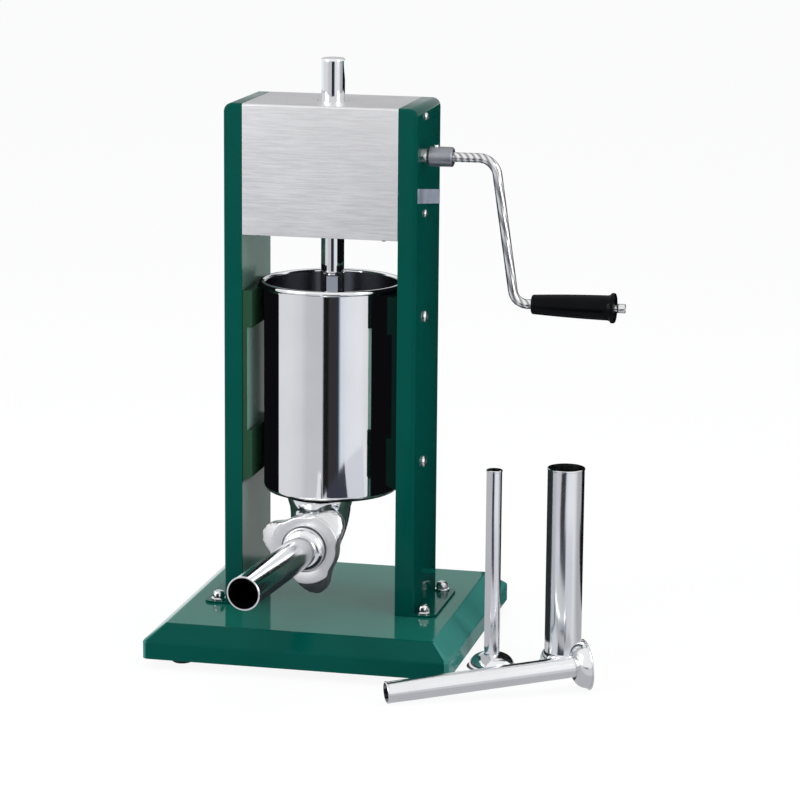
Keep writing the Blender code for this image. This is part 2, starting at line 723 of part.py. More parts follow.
def bracket(side, name, look, frame):
    """A C-shaped cradle of two ears on a strip. The rim rests on the upper ear, and a hook is behind it."""
    wall = INNER_X - SEAT_GAP
    strip = wall - BRACKET_STRIP
    seat = CYLINDER_RADIUS + SEAT_GAP
    ear = seat * math.cos(BRACKET_HOOK_ANGLE)
    front = BRACKET_FRONT_INSET - COLUMN_DEPTH / 2
    rear = seat * math.sin(BRACKET_HOOK_ANGLE)
    top = BRACKET_TOP_Z
    low = BRACKET_BOTTOM_Z
    outline = [
        (wall, low - BRACKET_GUSSET),
        (ear, low),
        (ear, low + BRACKET_LOW_EAR),
        (strip, low + BRACKET_LOW_EAR),
        (strip, top - BRACKET_TOP_EAR),
        (ear, top - BRACKET_TOP_EAR),
        (ear, top),
        (wall, top),
    ]
    outline = [(side * x, z) for x, z in outline]
    body = add_piece(name, prism(outline, front, rear, "Y"), look, frame)
    steps = ROUND_SIDES
    slot = [(-seat, front - OVERRUN), (seat, front - OVERRUN)] + arc((0, 0), seat, 0, math.pi, steps)
    slot_low = low - BRACKET_GUSSET - OVERRUN
    add_boolean(body, f"{name}_slot", prism(slot, slot_low, top + OVERRUN), "DIFFERENCE")
    depth = wall - BRACKET_BOLT_DEPTH - HOLE_GAP
    holes = [([(BRACKET_BOLT_Y, z) for z in BRACKET_BOLT_HEIGHTS], BRACKET_BOLT[2] + HOLE_GAP)]
    drill_sideways(body, side, holes, depth, wall + OVERRUN)


def cylinder_profile():
    """The drawn can with its rounded bottom corner and rolled rim, heights from its underside."""
    top = RIM_CENTRE_Z - CYLINDER_BOTTOM_Z
    corner = CYLINDER_CORNER
    outer, inner = CYLINDER_RADIUS, BORE_RADIUS
    low_corner = arc((outer - corner, corner), corner, -math.pi / 2, 0, 2)
    leave = math.pi - math.acos((RIM_CENTRE_RADIUS - outer) / RIM_BEAD_RADIUS)
    bead = arc((RIM_CENTRE_RADIUS, top), RIM_BEAD_RADIUS, -leave, math.pi, RIM_SIDES)
    inner_corner = arc((outer - corner, corner), corner - CYLINDER_WALL, 0, -math.pi / 2, 2)
    return (
        [(0, 0)] + low_corner + bead + [(inner, top)] + inner_corner + [(0, CYLINDER_WALL)]
    )


def cylinder(look, outlet):
    place = (0, 0, CYLINDER_BOTTOM_Z)
    can = add_piece("cylinder", turned(cylinder_profile(), CYLINDER_SIDES), look, outlet, place)
    low = CYLINDER_BOTTOM_Z - OVERRUN
    high = CYLINDER_BOTTOM_Z + CYLINDER_WALL + OVERRUN
    hole = pegs([(0, -OUTLET_OFFSET)], OUTLET_HOLE_RADIUS, low, high, "Z", ROUND_SIDES)
    add_boolean(can, "cylinder_outlet_hole", hole, "DIFFERENCE")


def elbow_ring(reach, height, heading, radius):
    """A ring across the elbow's path. Heading is how far the path has turned from down to forward."""
    centre = Vector((0, -reach, height))
    spread = Vector((0, -math.cos(heading), math.sin(heading)))
    ring = []
    for i in range(ROUND_SIDES):
        angle = math.tau * i / ROUND_SIDES
        ring.append(centre + radius * (math.cos(angle) * Vector((1, 0, 0)) + math.sin(angle) * spread))
    return ring


def outlet_elbow(look, outlet):
    """A flared collar under the cylinder that runs through a bend into the threaded mouth."""
    top = CYLINDER_BOTTOM_Z - SEAT_GAP
    down = OUTLET_OFFSET
    wall = ELBOW_WALL
    forward = math.pi / 2
    bend = []
    for i in range(ELBOW_STEPS + 1):
        share = i / ELBOW_STEPS
        heading = forward * share
        reach = down + ELBOW_BEND_RADIUS * (1 - math.cos(heading))
        height = ELBOW_DROP_Z - ELBOW_BEND_RADIUS * math.sin(heading)
        bend.append((reach, height, heading, NECK_RADIUS + (ELBOW_RADIUS - NECK_RADIUS) * share))
    shoulder = MOUTH_REACH - THREAD_LENGTH
    outer_rings = [
        elbow_ring(down, top, 0, FLARE_RADIUS),
        elbow_ring(down, top - FLARE_RIM, 0, FLARE_RADIUS),
    ]
    outer_rings += [elbow_ring(*place) for place in bend]
    outer_rings += [
        elbow_ring(shoulder, OUTLET_Z, forward, THREAD_RADIUS),
        elbow_ring(MOUTH_REACH, OUTLET_Z, forward, THREAD_RADIUS),
    ]
    inner_rings = [elbow_ring(down, top, 0, OUTLET_HOLE_RADIUS)]
    inner_rings += [elbow_ring(*place[:3], place[3] - wall) for place in bend]
    inner_rings.append(elbow_ring(MOUTH_REACH, OUTLET_Z, forward, ELBOW_RADIUS - wall))
    add_piece("outlet_elbow", lofted(outer_rings + inner_rings[::-1], loop=True), look, outlet)


def outlet_gasket(look, outlet):
    inner = ELBOW_RADIUS - ELBOW_WALL
    profile = box_outline((inner, 0), (TUBE_FLANGE_RADIUS, GASKET_HEIGHT))
    place = (0, -MOUTH_REACH - SEAT_GAP, OUTLET_Z)
    add_piece("outlet_gasket", turned(profile), look, outlet, place, (math.pi / 2, 0, 0))


def tube_profile(tube):
    """A stuffing tube on its flange. A dome leads from the flange into the straight thin-walled tube."""
    outer = tube[0] / 2
    length = tube[1]
    inner = outer - TUBE_WALL
    run_in = DOME_RADIUS - outer
    start = TUBE_FLANGE_HEIGHT
    outside = [(DOME_RADIUS - run_in * a, start + DOME_HEIGHT * b) for a, b in DOME_SHARES]
    inside = [(DOME_RADIUS - TUBE_WALL - run_in * a, DOME_HEIGHT * b) for a, b in DOME_SHARES]
    flange = [(TUBE_FLANGE_RADIUS, 0), (TUBE_FLANGE_RADIUS, start)]
    return flange + outside + [(outer, length), (inner, length)] + inside[::-1]


def mounted_tube(look, outlet):
    place = (0, -TUBE_REACH, OUTLET_Z)
    add_piece("stuffing_tube", turned(tube_profile(MOUNTED_TUBE)), look, outlet, place, (math.pi / 2, 0, 0))


def lobe_radius(angle):
    """The nut's outer radius at an angle: flat-ended lobes on a round body."""
    pitch = math.tau / NUT_LOBES
    off = abs((angle - LOBE_FIRST_ANGLE + pitch / 2) % pitch - pitch / 2)
    if off <= LOBE_TIP_ANGLE + WELD_DISTANCE:
        return NUT_LOBE_RADIUS / math.cos(off)
    if off >= LOBE_ROOT_ANGLE:
        return NUT_BODY_RADIUS
    fall = (off - LOBE_TIP_ANGLE) / (LOBE_ROOT_ANGLE - LOBE_TIP_ANGLE)
    return NUT_LOBE_RADIUS + (NUT_BODY_RADIUS - NUT_LOBE_RADIUS) * fall


def lobed_nut(look, outlet):
    """A cast nut whose lobes slope back. Its front lip traps the tube's flange against the elbow's mouth."""
    angles = [math.tau * i / NUT_SIDES for i in range(NUT_SIDES)]
    bore = THREAD_RADIUS + RUNNING_GAP * 2

    def ring(radius_at, depth):
        return [(radius_at(t) * math.cos(t), radius_at(t) * math.sin(t), -depth) for t in angles]

    def chamfered(t):
        return lobe_radius(t) - NUT_CHAMFER

    def face(t):
        return min(lobe_radius(t), LOBE_FACE_RADIUS)

    rings = [
        ring(lambda t: face(t) - NUT_CHAMFER, 0),
        ring(face, NUT_CHAMFER),
        ring(lobe_radius, LOBE_SLOPE_DEPTH),
        ring(lobe_radius, NUT_LENGTH - NUT_CHAMFER),
        ring(chamfered, NUT_LENGTH),
        ring(lambda t: bore, NUT_LENGTH),
        ring(lambda t: bore, NUT_LIP),
        ring(lambda t: NUT_OPENING_RADIUS, NUT_LIP),
        ring(lambda t: NUT_OPENING_RADIUS, 0),
    ]
    place = (0, -NUT_FRONT_REACH, OUTLET_Z)
    add_piece("tube_nut", lofted(rings, loop=True), look, outlet, place, (math.pi / 2, 0, 0))


def spare_tubes(look, frame):
    thin = turned(tube_profile(THIN_TUBE))
    add_piece("spare_tube_thin", thin, look, frame, (THIN_TUBE_X, THIN_TUBE_Y, 0))
    wide = turned(tube_profile(WIDE_TUBE))
    add_piece("spare_tube_wide", wide, look, frame, (WIDE_TUBE_X, WIDE_TUBE_Y, 0))
    radius = LYING_TUBE[0] / 2
    tilt = math.atan((TUBE_FLANGE_RADIUS - radius) / (LYING_TUBE[1] - TUBE_FLANGE_HEIGHT))
    height = TUBE_FLANGE_RADIUS * math.cos(tilt) + TUBE_FLANGE_HEIGHT * math.sin(tilt)
    turn = (0, math.pi / 2 + tilt, LYING_TUBE_HEADING)
    medium = turned(tube_profile(LYING_TUBE))
    add_piece("spare_tube_medium", medium, look, frame, (LYING_TUBE_X, LYING_TUBE_Y, height), turn)


def involute_outline(teeth, points=2):
    """A spur gear's outline, with tooth 0 centred on the first axis."""
    pitch = GEAR_MODULE * teeth / 2
    base = pitch * math.cos(PRESSURE_ANGLE)
    tip = pitch + GEAR_MODULE * ADDENDUM_SHARE
    root = pitch - GEAR_MODULE * DEDENDUM_SHARE
    at_pitch = math.pi / (2 * teeth) - TOOTH_BACKLASH / (4 * pitch)

    def involute(angle):
        return math.tan(angle) - angle

    def half_angle(radius):
        roll = math.acos(min(1, base / radius))
        return at_pitch + involute(PRESSURE_ANGLE) - involute(roll)

    start = max(root, base)
    radii = [start + (tip - start) * i / (points - 1) for i in range(points)]
    if start - root > GEAR_MODULE / 8:
        radii.insert(0, root)
    outline = []
    for tooth in range(teeth):
        middle = math.tau * tooth / teeth
        flank = [(radius, half_angle(max(radius, base))) for radius in radii]
        for radius, half in flank:
            outline.append((radius * math.cos(middle - half), radius * math.sin(middle - half)))
        for radius, half in reversed(flank):
            outline.append((radius * math.cos(middle + half), radius * math.sin(middle + half)))
    return outline


def turned_outline(outline, angle):
    cos, sin = math.cos(angle), math.sin(angle)
    return [(a * cos - b * sin, a * sin + b * cos) for a, b in outline]


def gear(name, look, axis, teeth, turn, width, hub_width, shaft_radius):
    """A spur gear about X in its axis empty's frame, bored for its shaft and with a hub on both faces."""
    outline = turned_outline(involute_outline(teeth), turn)
    low = GEAR_X - width / 2
    body = add_piece(name, prism(outline, low, low + width, "X"), look, axis)
    hub_low = GEAR_X - hub_width / 2
    hub = prism(circle(GEAR_HUB_RADIUS, ROUND_SIDES), hub_low, hub_low + hub_width, "X")
    add_boolean(body, f"{name}_hub", hub, "UNION")
    bore = pegs([(0, 0)], shaft_radius + SEAT_GAP, hub_low - OVERRUN, hub_low + hub_width + OVERRUN)
    add_boolean(body, f"{name}_bore", bore, "DIFFERENCE")


def gear_train(look, frame, crank_axis, gear_axis):
    gear("input_gear", look, crank_axis, INPUT_TEETH, 0, GEAR_WIDTH, GEAR_HUB_WIDTH, INPUT_SHAFT_RADIUS)
    half_pitch = math.pi / DRIVEN_TEETH
    shaft_radius = PINION_SHAFT_RADIUS
    gear("driven_gear", look, gear_axis, DRIVEN_TEETH, half_pitch, GEAR_WIDTH, GEAR_HUB_WIDTH, shaft_radius)
    half = PINION_WIDTH / 2
    teeth = prism(involute_outline(PINION_TEETH, 3), -half, half, "X")
    pinion = add_piece("rack_pinion", teeth, look, gear_axis)
    bore = pegs([(0, 0)], shaft_radius + SEAT_GAP, -half - OVERRUN, half + OVERRUN)
    add_boolean(pinion, "rack_pinion_bore", bore, "DIFFERENCE")
    reach = PLATE_BACK_X
    shaft = prism(circle(shaft_radius), -reach, reach, "X")
    add_piece("pinion_shaft", shaft, look, gear_axis)
    hub_end = HUB_GAP + OUTER_X + COLLAR_LENGTH + HUB_LENGTH - HUB_SOCKET - SEAT_GAP * 2
    shaft = prism(circle(INPUT_SHAFT_RADIUS), -reach, hub_end, "X")
    add_piece("input_shaft", shaft, look, crank_axis)
    for number, side in enumerate((-1, 1), 1):
        shaft_rings(number, side, look, gear_axis)


def shaft_rings(number, side, look, gear_axis):
    """A retaining ring on the pinion shaft, just inside its bush."""
    inner = PINION_SHAFT_RADIUS + SEAT_GAP
    profile = box_outline((inner, 0), (inner + RING_WALL, RING_WIDTH))
    reach = BUSH_FLANGE_X - BUSH_FLANGE_WIDTH - SEAT_GAP
    place = (side * (reach - RING_WIDTH), 0, 0)
    turn = (0, side * math.pi / 2, 0)
    add_piece(f"shaft_ring_{number}", turned(profile, SMALL_SIDES), look, gear_axis, place, turn)


def shaft_bush(name, look, axis, side, shaft_radius, outer_end):
    """A flanged bush through the gearbox cheek and the side plate. Its flange is inside the gearbox."""
    inner = shaft_radius + RUNNING_GAP
    outer = bush_radius(shaft_radius)
    flange = outer + BUSH_FLANGE
    start = BUSH_FLANGE_X - BUSH_FLANGE_WIDTH
    profile = [
        (inner, start),
        (flange, start),
        (flange, BUSH_FLANGE_X),
        (outer, BUSH_FLANGE_X),
        (outer, outer_end),
        (inner, outer_end),
    ]
    add_piece(name, turned(profile, SMALL_SIDES), look, axis, (0, 0, 0), (0, side * math.pi / 2, 0))


def shaft_bushes(look, frame):
    input_axis = add_empty("input_bush_axis", frame, (0, INPUT_SHAFT_Y, GEAR_Z))
    pinion_axis = add_empty("pinion_bush_axis", frame, (0, PINION_SHAFT_Y, GEAR_Z))
    short = PLATE_BACK_X + SEAT_GAP
    through = OUTER_X + COLLAR_LENGTH
    shaft_bush("input_bush_right", look, input_axis, 1, INPUT_SHAFT_RADIUS, through)
    shaft_bush("input_bush_left", look, input_axis, -1, INPUT_SHAFT_RADIUS, short)
    shaft_bush("pinion_bush_right", look, pinion_axis, 1, PINION_SHAFT_RADIUS, short)
    shaft_bush("pinion_bush_left", look, pinion_axis, -1, PINION_SHAFT_RADIUS, short)


def rack_cutter():
    """What is milled from the rod's rear: a flat at the tooth tips, and the gaps between the teeth."""
    pitch = math.pi * GEAR_MODULE
    tip = RACK_PITCH_Y + GEAR_MODULE * RACK_ADDENDUM_SHARE
    root = RACK_PITCH_Y - GEAR_MODULE * DEDENDUM_SHARE
    slope = math.tan(PRESSURE_ANGLE)
    at_pitch = pitch / 4 + TOOTH_BACKLASH / 2
    at_tip = at_pitch + (tip - RACK_PITCH_Y) * slope
    at_root = at_pitch - (RACK_PITCH_Y - root) * slope
    above = math.floor((GEARBOX_TOP_Z - GEAR_Z) / pitch)
    below = math.ceil((ROD_STROKE + RACK_RUN_OUT) / pitch)
    outside = ROD_RADIUS + OVERRUN
    low = GEAR_Z - pitch * (below + 1)
    high = GEAR_Z + pitch * (above + 1)
    outline = [(outside, low), (tip, low)]
    for gap in range(-below, above + 1):
        middle = GEAR_Z + gap * pitch
        outline += [
            (tip, middle - at_tip),
            (root, middle - at_root),
            (root, middle + at_root),
            (tip, middle + at_tip),
        ]
    outline += [(tip, high), (outside, high)]
    return prism(outline, -outside, outside, "X")


def rack_rod(look, rod_axis):
    """The steel rod. Its front is round and its rear carries the rack, and its spigot holds the piston."""
    bottom = ROD_BOTTOM_Z
    spigot = PISTON_Z + SEAT_GAP
    profile = [
        (0, spigot),
        (SPIGOT_RADIUS, spigot),
        (SPIGOT_RADIUS, bottom),
        (ROD_RADIUS, bottom),
        (ROD_RADIUS, ROD_TOP_Z - ROD_TOP_ROUND),
        (ROD_RADIUS - ROD_TOP_ROUND, ROD_TOP_Z),
        (0, ROD_TOP_Z),
    ]
    rod = add_piece("rack_rod", turned(profile), look, rod_axis)
    add_boolean(rod, "rack_teeth", rack_cutter(), "DIFFERENCE")


def piston(look, rod_axis):
    """The piston disc, with a groove for its seal, a hub for the rod and a recess for the nut."""
    low = PISTON_Z
    top = PISTON_Z + PISTON_HEIGHT
    groove_low = low + (PISTON_HEIGHT - SEAL_HEIGHT) / 2
    groove_high = groove_low + SEAL_HEIGHT
    bore = SPIGOT_RADIUS + SEAT_GAP
    edge = PISTON_RADIUS - PISTON_CHAMFER
    profile = [
        (bore, low + PISTON_RECESS_DEPTH),
        (PISTON_RECESS_RADIUS, low + PISTON_RECESS_DEPTH),
        (PISTON_RECESS_RADIUS, low),
        (edge, low),
        (PISTON_RADIUS, low + PISTON_CHAMFER),
        (PISTON_RADIUS, groove_low),
        (PISTON_RADIUS - SEAL_DEPTH, groove_low),
        (PISTON_RADIUS - SEAL_DEPTH, groove_high),
        (PISTON_RADIUS, groove_high),
        (PISTON_RADIUS, top - PISTON_CHAMFER),
        (edge, top),
        (PISTON_HUB_RADIUS, top),
        (PISTON_HUB_RADIUS - PISTON_CHAMFER, top + PISTON_HUB_HEIGHT),
        (bore, top + PISTON_HUB_HEIGHT),
    ]
    disc = add_piece("piston", turned(profile, CYLINDER_SIDES), look, rod_axis)
    add_boolean(disc, "valve_hole", turned(valve_hole_profile()), "DIFFERENCE", (0, VALVE_OFFSET, 0))


def valve_hole_profile():
    """The stepped hole for the air valve, from the piston's underside."""
    stem = VALVE_STEM_RADIUS + RUNNING_GAP
    foot = VALVE_FOOT_RADIUS + RUNNING_GAP
    step = PISTON_Z + VALVE_FOOT_DEPTH + VALVE_FOOT_HEIGHT + VALVE_LIFT + SEAT_GAP * 2
    high = PISTON_Z + PISTON_HEIGHT + OVERRUN
    low = PISTON_Z - OVERRUN
    return [(0, low), (foot, low), (foot, step), (stem, step), (stem, high), (0, high)]


def air_valve(look, valve_axis):
    """A poppet that lets air past the piston. Its head rests on it, and its sunk foot stops the lift."""
    foot_low = VALVE_FOOT_DEPTH + SEAT_GAP
    foot_high = foot_low + VALVE_FOOT_HEIGHT
    head_low = PISTON_HEIGHT + SEAT_GAP
    head_high = head_low + VALVE_HEAD_HEIGHT
    profile = [
        (0, foot_low),
        (VALVE_FOOT_RADIUS, foot_low),
        (VALVE_FOOT_RADIUS, foot_high),
        (VALVE_STEM_RADIUS, foot_high),
        (VALVE_STEM_RADIUS, head_low),
        (VALVE_HEAD_RADIUS, head_low),
        (VALVE_HEAD_RADIUS, head_high),
        (0, head_high),
    ]
    add_piece("air_valve", turned(profile, ROUND_SIDES), look, valve_axis)


def piston_fittings(steel, rubber, rod_axis):
    seal_low = PISTON_Z + (PISTON_HEIGHT - SEAL_HEIGHT) / 2 + SEAT_GAP
    seal_high = seal_low + SEAL_HEIGHT - SEAT_GAP * 2
    inner = PISTON_RADIUS - SEAL_DEPTH + SEAT_GAP
    lip = BORE_RADIUS * math.cos(math.pi / CYLINDER_SIDES) - RUNNING_GAP
    middle = (seal_low + seal_high) / 2
    waist = PISTON_RADIUS - SEAT_GAP
    seal = [(inner, seal_low), (lip, seal_low), (waist, middle), (lip, seal_high), (inner, seal_high)]
    add_piece("piston_seal", turned(seal, CYLINDER_SIDES), rubber, rod_axis)
    high = PISTON_Z + PISTON_RECESS_DEPTH - SEAT_GAP
    middle = high - PISTON_WASHER_HEIGHT
    low = middle - PISTON_NUT_HEIGHT
    bore = SPIGOT_RADIUS + SEAT_GAP
    rings = [
        hexagon_ring(PISTON_NUT_RADIUS, low),
        hexagon_ring(PISTON_NUT_RADIUS, middle),
        round_ring(PISTON_WASHER_RADIUS, middle),
        round_ring(PISTON_WASHER_RADIUS, high),
        round_ring(bore, high),
        round_ring(bore, low),
    ]
    add_piece("piston_nut", lofted(rings, loop=True), steel, rod_axis)


def crank_hub(look, crank_axis):
    """The hub, with a socket for the shaft on one side and one for the bent arm on the other."""
    start = OUTER_X + COLLAR_LENGTH + HUB_GAP
    end = start + HUB_LENGTH
    shaft = INPUT_SHAFT_RADIUS + SEAT_GAP
    profile = [
        (shaft, start),
        (HUB_RADIUS - HUB_CHAMFER, start),
        (HUB_RADIUS, start + HUB_CHAMFER),
        (HUB_RADIUS, end - HUB_CHAMFER),
        (HUB_RADIUS - HUB_CHAMFER, end),
        (shaft, end),
    ]
    hub = add_piece("crank_hub", turned(profile), look, crank_axis, (0, 0, 0), (0, math.pi / 2, 0))
    middle = start + (HUB_LENGTH - HUB_SOCKET) / 2
    top = HUB_RADIUS + OVERRUN
    hole = pegs([(middle, 0)], SET_SCREW_RADIUS + SEAT_GAP, SPINDLE_RADIUS, top, "Z", TINY_SIDES)
    add_boolean(hub, "set_screw_hole", hole, "DIFFERENCE")
    tip = INPUT_SHAFT_RADIUS + SEAT_GAP
    screw = prism(circle(SET_SCREW_RADIUS, SMALL_SIDES, (middle, 0)), tip, HUB_RADIUS + SET_SCREW_STANDS)
    add_piece("crank_set_screw", screw, look, crank_axis)


def filleted(corners, bends, steps):
    """A planar path through its corners, each inner one rounded to its bend radius."""
    path = [Vector(corners[0])]
    for before, corner, after, bend in zip(corners, corners[1:], corners[2:], bends):
        corner = Vector(corner)
        arrive = (corner - Vector(before)).normalized()
        leave = (Vector(after) - corner).normalized()
        turn = arrive.angle(leave)
        reach = bend * math.tan(turn / 2)
        start = corner - arrive * reach
        side = (leave - arrive * arrive.dot(leave)).normalized()
        for i in range(steps + 1):
            angle = turn * i / steps
            path.append(start + bend * (arrive * math.sin(angle) + side * (1 - math.cos(angle))))
    path.append(Vector(corners[-1]))
    return path


def bar_rings(path, radii):
    """Rings across a path in the XZ plane."""
    rings = []
    for i, point in enumerate(path):
        ahead = path[min(i + 1, len(path) - 1)] - path[max(i - 1, 0)]
        if i and (point - path[i - 1]).length < WELD_DISTANCE:
            ahead = path[-1] - path[-2]
        ahead.normalize()
        across = Vector((-ahead.y, ahead.x))
        ring = [
            (point.x + radii[i] * c * across.x, radii[i] * s, point.y + radii[i] * c * across.y)
            for c, s in circle(1)
        ]
        rings.append(ring)
    return rings


def crank_arm(look, crank_axis):
    """The bent round bar. It leaves the hub, drops on a slant and ends in the grip's spindle."""
    hub_end = OUTER_X + COLLAR_LENGTH + HUB_GAP + HUB_LENGTH
    shoulder = GRIP_START_X - SEAT_GAP
    spindle_end = GRIP_END_X + END_CAP_GAP + SPINDLE_END
    corners = [
        (hub_end - HUB_SOCKET, 0),
        (ARM_ELBOW_X, 0),
        (ARM_WRIST_X, -CRANK_DROP),
        (shoulder, -CRANK_DROP),
    ]
    path = filleted(corners, (ARM_ELBOW_BEND, ARM_WRIST_BEND), ARM_BEND_STEPS)
    radii = [ARM_RADIUS] * len(path)
    rings = bar_rings(path, radii)
    for x in (shoulder, spindle_end):
        rings.append([(x, SPINDLE_RADIUS * s, SPINDLE_RADIUS * c - CRANK_DROP) for c, s in circle(1)])
    add_piece("crank_arm", lofted(rings), look, crank_axis)


def grip(look, metal, crank_axis):
    """The turned plastic grip, loose on its spindle, and the cap that keeps it there."""
    inner = SPINDLE_RADIUS + RUNNING_GAP
    flange_low = GRIP_LENGTH - GRIP_FLANGE_WIDTH
    neck = flange_low - GRIP_FLANGE_WIDTH / 2
    profile = [
        (inner, 0),
        (GRIP_RADIUS - GRIP_ROUND, 0),
        (GRIP_RADIUS, GRIP_ROUND),
        (GRIP_SWELL_RADIUS, neck),
        (GRIP_FLANGE_RADIUS, flange_low),
        (GRIP_FLANGE_RADIUS, GRIP_LENGTH - GRIP_ROUND),
        (GRIP_FLANGE_RADIUS - GRIP_ROUND, GRIP_LENGTH),
        (inner, GRIP_LENGTH),
    ]
    turn = (0, math.pi / 2, 0)
    place = (GRIP_START_X, 0, -CRANK_DROP)
    add_piece("crank_grip", turned(profile), look, crank_axis, place, turn)
    bore = SPINDLE_RADIUS + SEAT_GAP
    floor = SPINDLE_END + SEAT_GAP
    rim = END_CAP_RADIUS - END_CAP_WALL
    cap = [
        (0, floor),
        (bore, floor),
        (bore, 0),
        (END_CAP_RADIUS, 0),
        (END_CAP_RADIUS, END_CAP_LENGTH),
        (rim, END_CAP_LENGTH),
        (rim, END_CAP_LENGTH - END_CAP_WALL),
        (0, END_CAP_LENGTH - END_CAP_WALL),
    ]
    place = (GRIP_END_X + END_CAP_GAP, 0, -CRANK_DROP)
    add_piece("grip_end_cap", turned(cap), metal, crank_axis, place, turn)


def centre_on_footprint(frame):
    """Moves the parent empty so that the origin is the middle of the whole part's footprint, on the floor."""
    bpy.context.view_layer.update()
    graph = bpy.context.evaluated_depsgraph_get()
    corners = []
    for piece in bpy.data.objects:
        if piece.type == "MESH" and not piece.hide_render:
            ready = piece.evaluated_get(graph)
            corners += [ready.matrix_world @ Vector(vertex.co) for vertex in ready.data.vertices]
    middle = [(min(c[i] for c in corners) + max(c[i] for c in corners)) / 2 for i in (0, 1)]
    floor = min(c[2] for c in corners)
    frame.location = (-middle[0], -middle[1], -floor)


def build():
    clear_scene()
    green = finish("green_paint", (0.004, 0.055, 0.038), 0.12, 0.0)
    stainless = finish("stainless", (0.62, 0.62, 0.63), 0.22, 1.0)
    polished = finish("polished_steel", (0.80, 0.80, 0.82), 0.06, 1.0)
    cast = finish("cast_steel", (0.55, 0.55, 0.56), 0.32, 1.0)
    gear_steel = finish("gear_steel", (0.30, 0.30, 0.31), 0.35, 1.0)
    bronze = finish("bronze", (0.55, 0.38, 0.18), 0.35, 1.0)
    black = finish("black_plastic", (0.012, 0.012, 0.014), 0.30, 0.0)
    rubber = finish("rubber", (0.02, 0.02, 0.02), 0.70, 0.0)
    silicone = finish("silicone", (0.80, 0.80, 0.78), 0.55, 0.0)

    frame = add_empty("stuffer")
    outlet = add_empty("outlet_axis", frame, (0, 0, 0), (0, 0, -OUTLET_TURN))
    crank_axis = add_empty("crank_axis", frame, (0, INPUT_SHAFT_Y, GEAR_Z))
    gear_axis = add_empty("gear_axis", frame, (0, PINION_SHAFT_Y, GEAR_Z))
    rod_axis = add_empty("rod_axis", frame)
    valve_axis = add_empty("valve_axis", rod_axis, (0, VALVE_OFFSET, PISTON_Z))

    base_pan(green, frame)
    rubber_feet(rubber, frame)
    for side, word in ((-1, "left"), (1, "right")):
        column(side, f"column_{word}", green, frame)
        side_plate(side, f"side_plate_{word}", green, frame)
        bracket(side, f"cylinder_bracket_{word}", green, frame)
    gearbox_cover(stainless, frame)
    gearbox_floor(stainless, frame)
    rod_guide("rod_guide_top", bronze, frame, GEARBOX_TOP_Z, -1)
    rod_guide("rod_guide_bottom", bronze, frame, GEARBOX_BOTTOM_Z, 1)
    fasteners(polished, frame)
    shaft_bushes(bronze, frame)
    cylinder(polished, outlet)
    outlet_elbow(polished, outlet)
    outlet_gasket(silicone, outlet)
    mounted_tube(polished, outlet)
    lobed_nut(cast, outlet)
    gear_train(gear_steel, frame, crank_axis, gear_axis)
    rack_rod(polished, rod_axis)
    piston(stainless, rod_axis)
    piston_fittings(stainless, silicone, rod_axis)
    air_valve(stainless, valve_axis)
    crank_hub(polished, crank_axis)
    crank_arm(polished, crank_axis)
    grip(black, polished, crank_axis)
    spare_tubes(polished, frame)
    centre_on_footprint(frame)


build()
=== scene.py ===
"""Render scene of the vertical sausage stuffer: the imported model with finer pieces, looks and light.

Sizes are metres. Points are given about the cylinder's axis with the floor at zero, as in the part's own
layout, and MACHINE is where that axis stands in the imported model.
"""

import math
from math import cos, sin

import bmesh
import bpy
from mathutils import Matrix, Vector


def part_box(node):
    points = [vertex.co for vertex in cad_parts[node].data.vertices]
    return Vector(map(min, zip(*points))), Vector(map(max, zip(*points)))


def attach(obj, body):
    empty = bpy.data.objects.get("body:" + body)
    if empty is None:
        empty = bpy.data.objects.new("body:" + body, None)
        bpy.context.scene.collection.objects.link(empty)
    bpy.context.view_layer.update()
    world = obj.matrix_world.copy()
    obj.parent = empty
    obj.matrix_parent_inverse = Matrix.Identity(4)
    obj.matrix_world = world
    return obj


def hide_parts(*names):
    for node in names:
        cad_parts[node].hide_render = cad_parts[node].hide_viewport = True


# Facets and folds
TUBE_SIDES = 64
BAR_SIDES = 40
BOLT_SIDES = 48
CAN_SIDES = 144
ROUND_STEPS = 6
FOLD_STEPS = 8
WELD_DISTANCE = 0.000001
MERGE_DISTANCE = 0.000005
SHARP_ANGLE = math.radians(32)
BEVEL_ANGLE = math.radians(40)
EDGE_SEGMENTS = 2
OVERRUN = 0.004
QUARTER = math.pi / 2
SEAT_GAP = 0.0003

# Camera
CAMERA_AZIMUTH = math.radians(12.62)
CAMERA_ELEVATION = math.radians(11.95)
CAMERA_ROLL = math.radians(0.49)
CAMERA_DISTANCE = 3.3208
CAMERA_TARGET = (0.07309, 0.0, 0.26139)
CAMERA_LENS = 143.14
SENSOR_WIDTH = 36
CLIP_END = 50

# Cylinder
BORE_RADIUS = 0.070
CYLINDER_WALL = 0.0012
CYLINDER_BOTTOM_Z = 0.163
CYLINDER_HEIGHT = 0.2225
CYLINDER_CORNER = 0.006
RIM_BEAD_RADIUS = 0.0028
CORNER_STEPS = 10
BEAD_STEPS = 22

# Columns and gearbox
GEARBOX_WIDTH = 0.164
COLUMN_WIDTH = 0.0195
COLUMN_DEPTH = 0.114
COLUMN_SHEET = 0.002
COLUMN_TOP_RADIUS = 0.009
COLUMN_EDGE_RADIUS = 0.003
COLUMN_BOTTOM_Z = 0.0443
FOOT_FLANGE_WIDTH = 0.023
FOOT_FLANGE_CORNER = 0.009
GEARBOX_TOP_Z = 0.573
GEARBOX_HEIGHT = 0.135
GEARBOX_SHEET = 0.0015
GEARBOX_FOLD_RADIUS = 0.0025
ROD_HOLE_CLEARANCE = 0.0037
COLUMN_EDGE = 0.0004
COVER_EDGE = 0.0003
COLUMN_SEGMENTS = 5

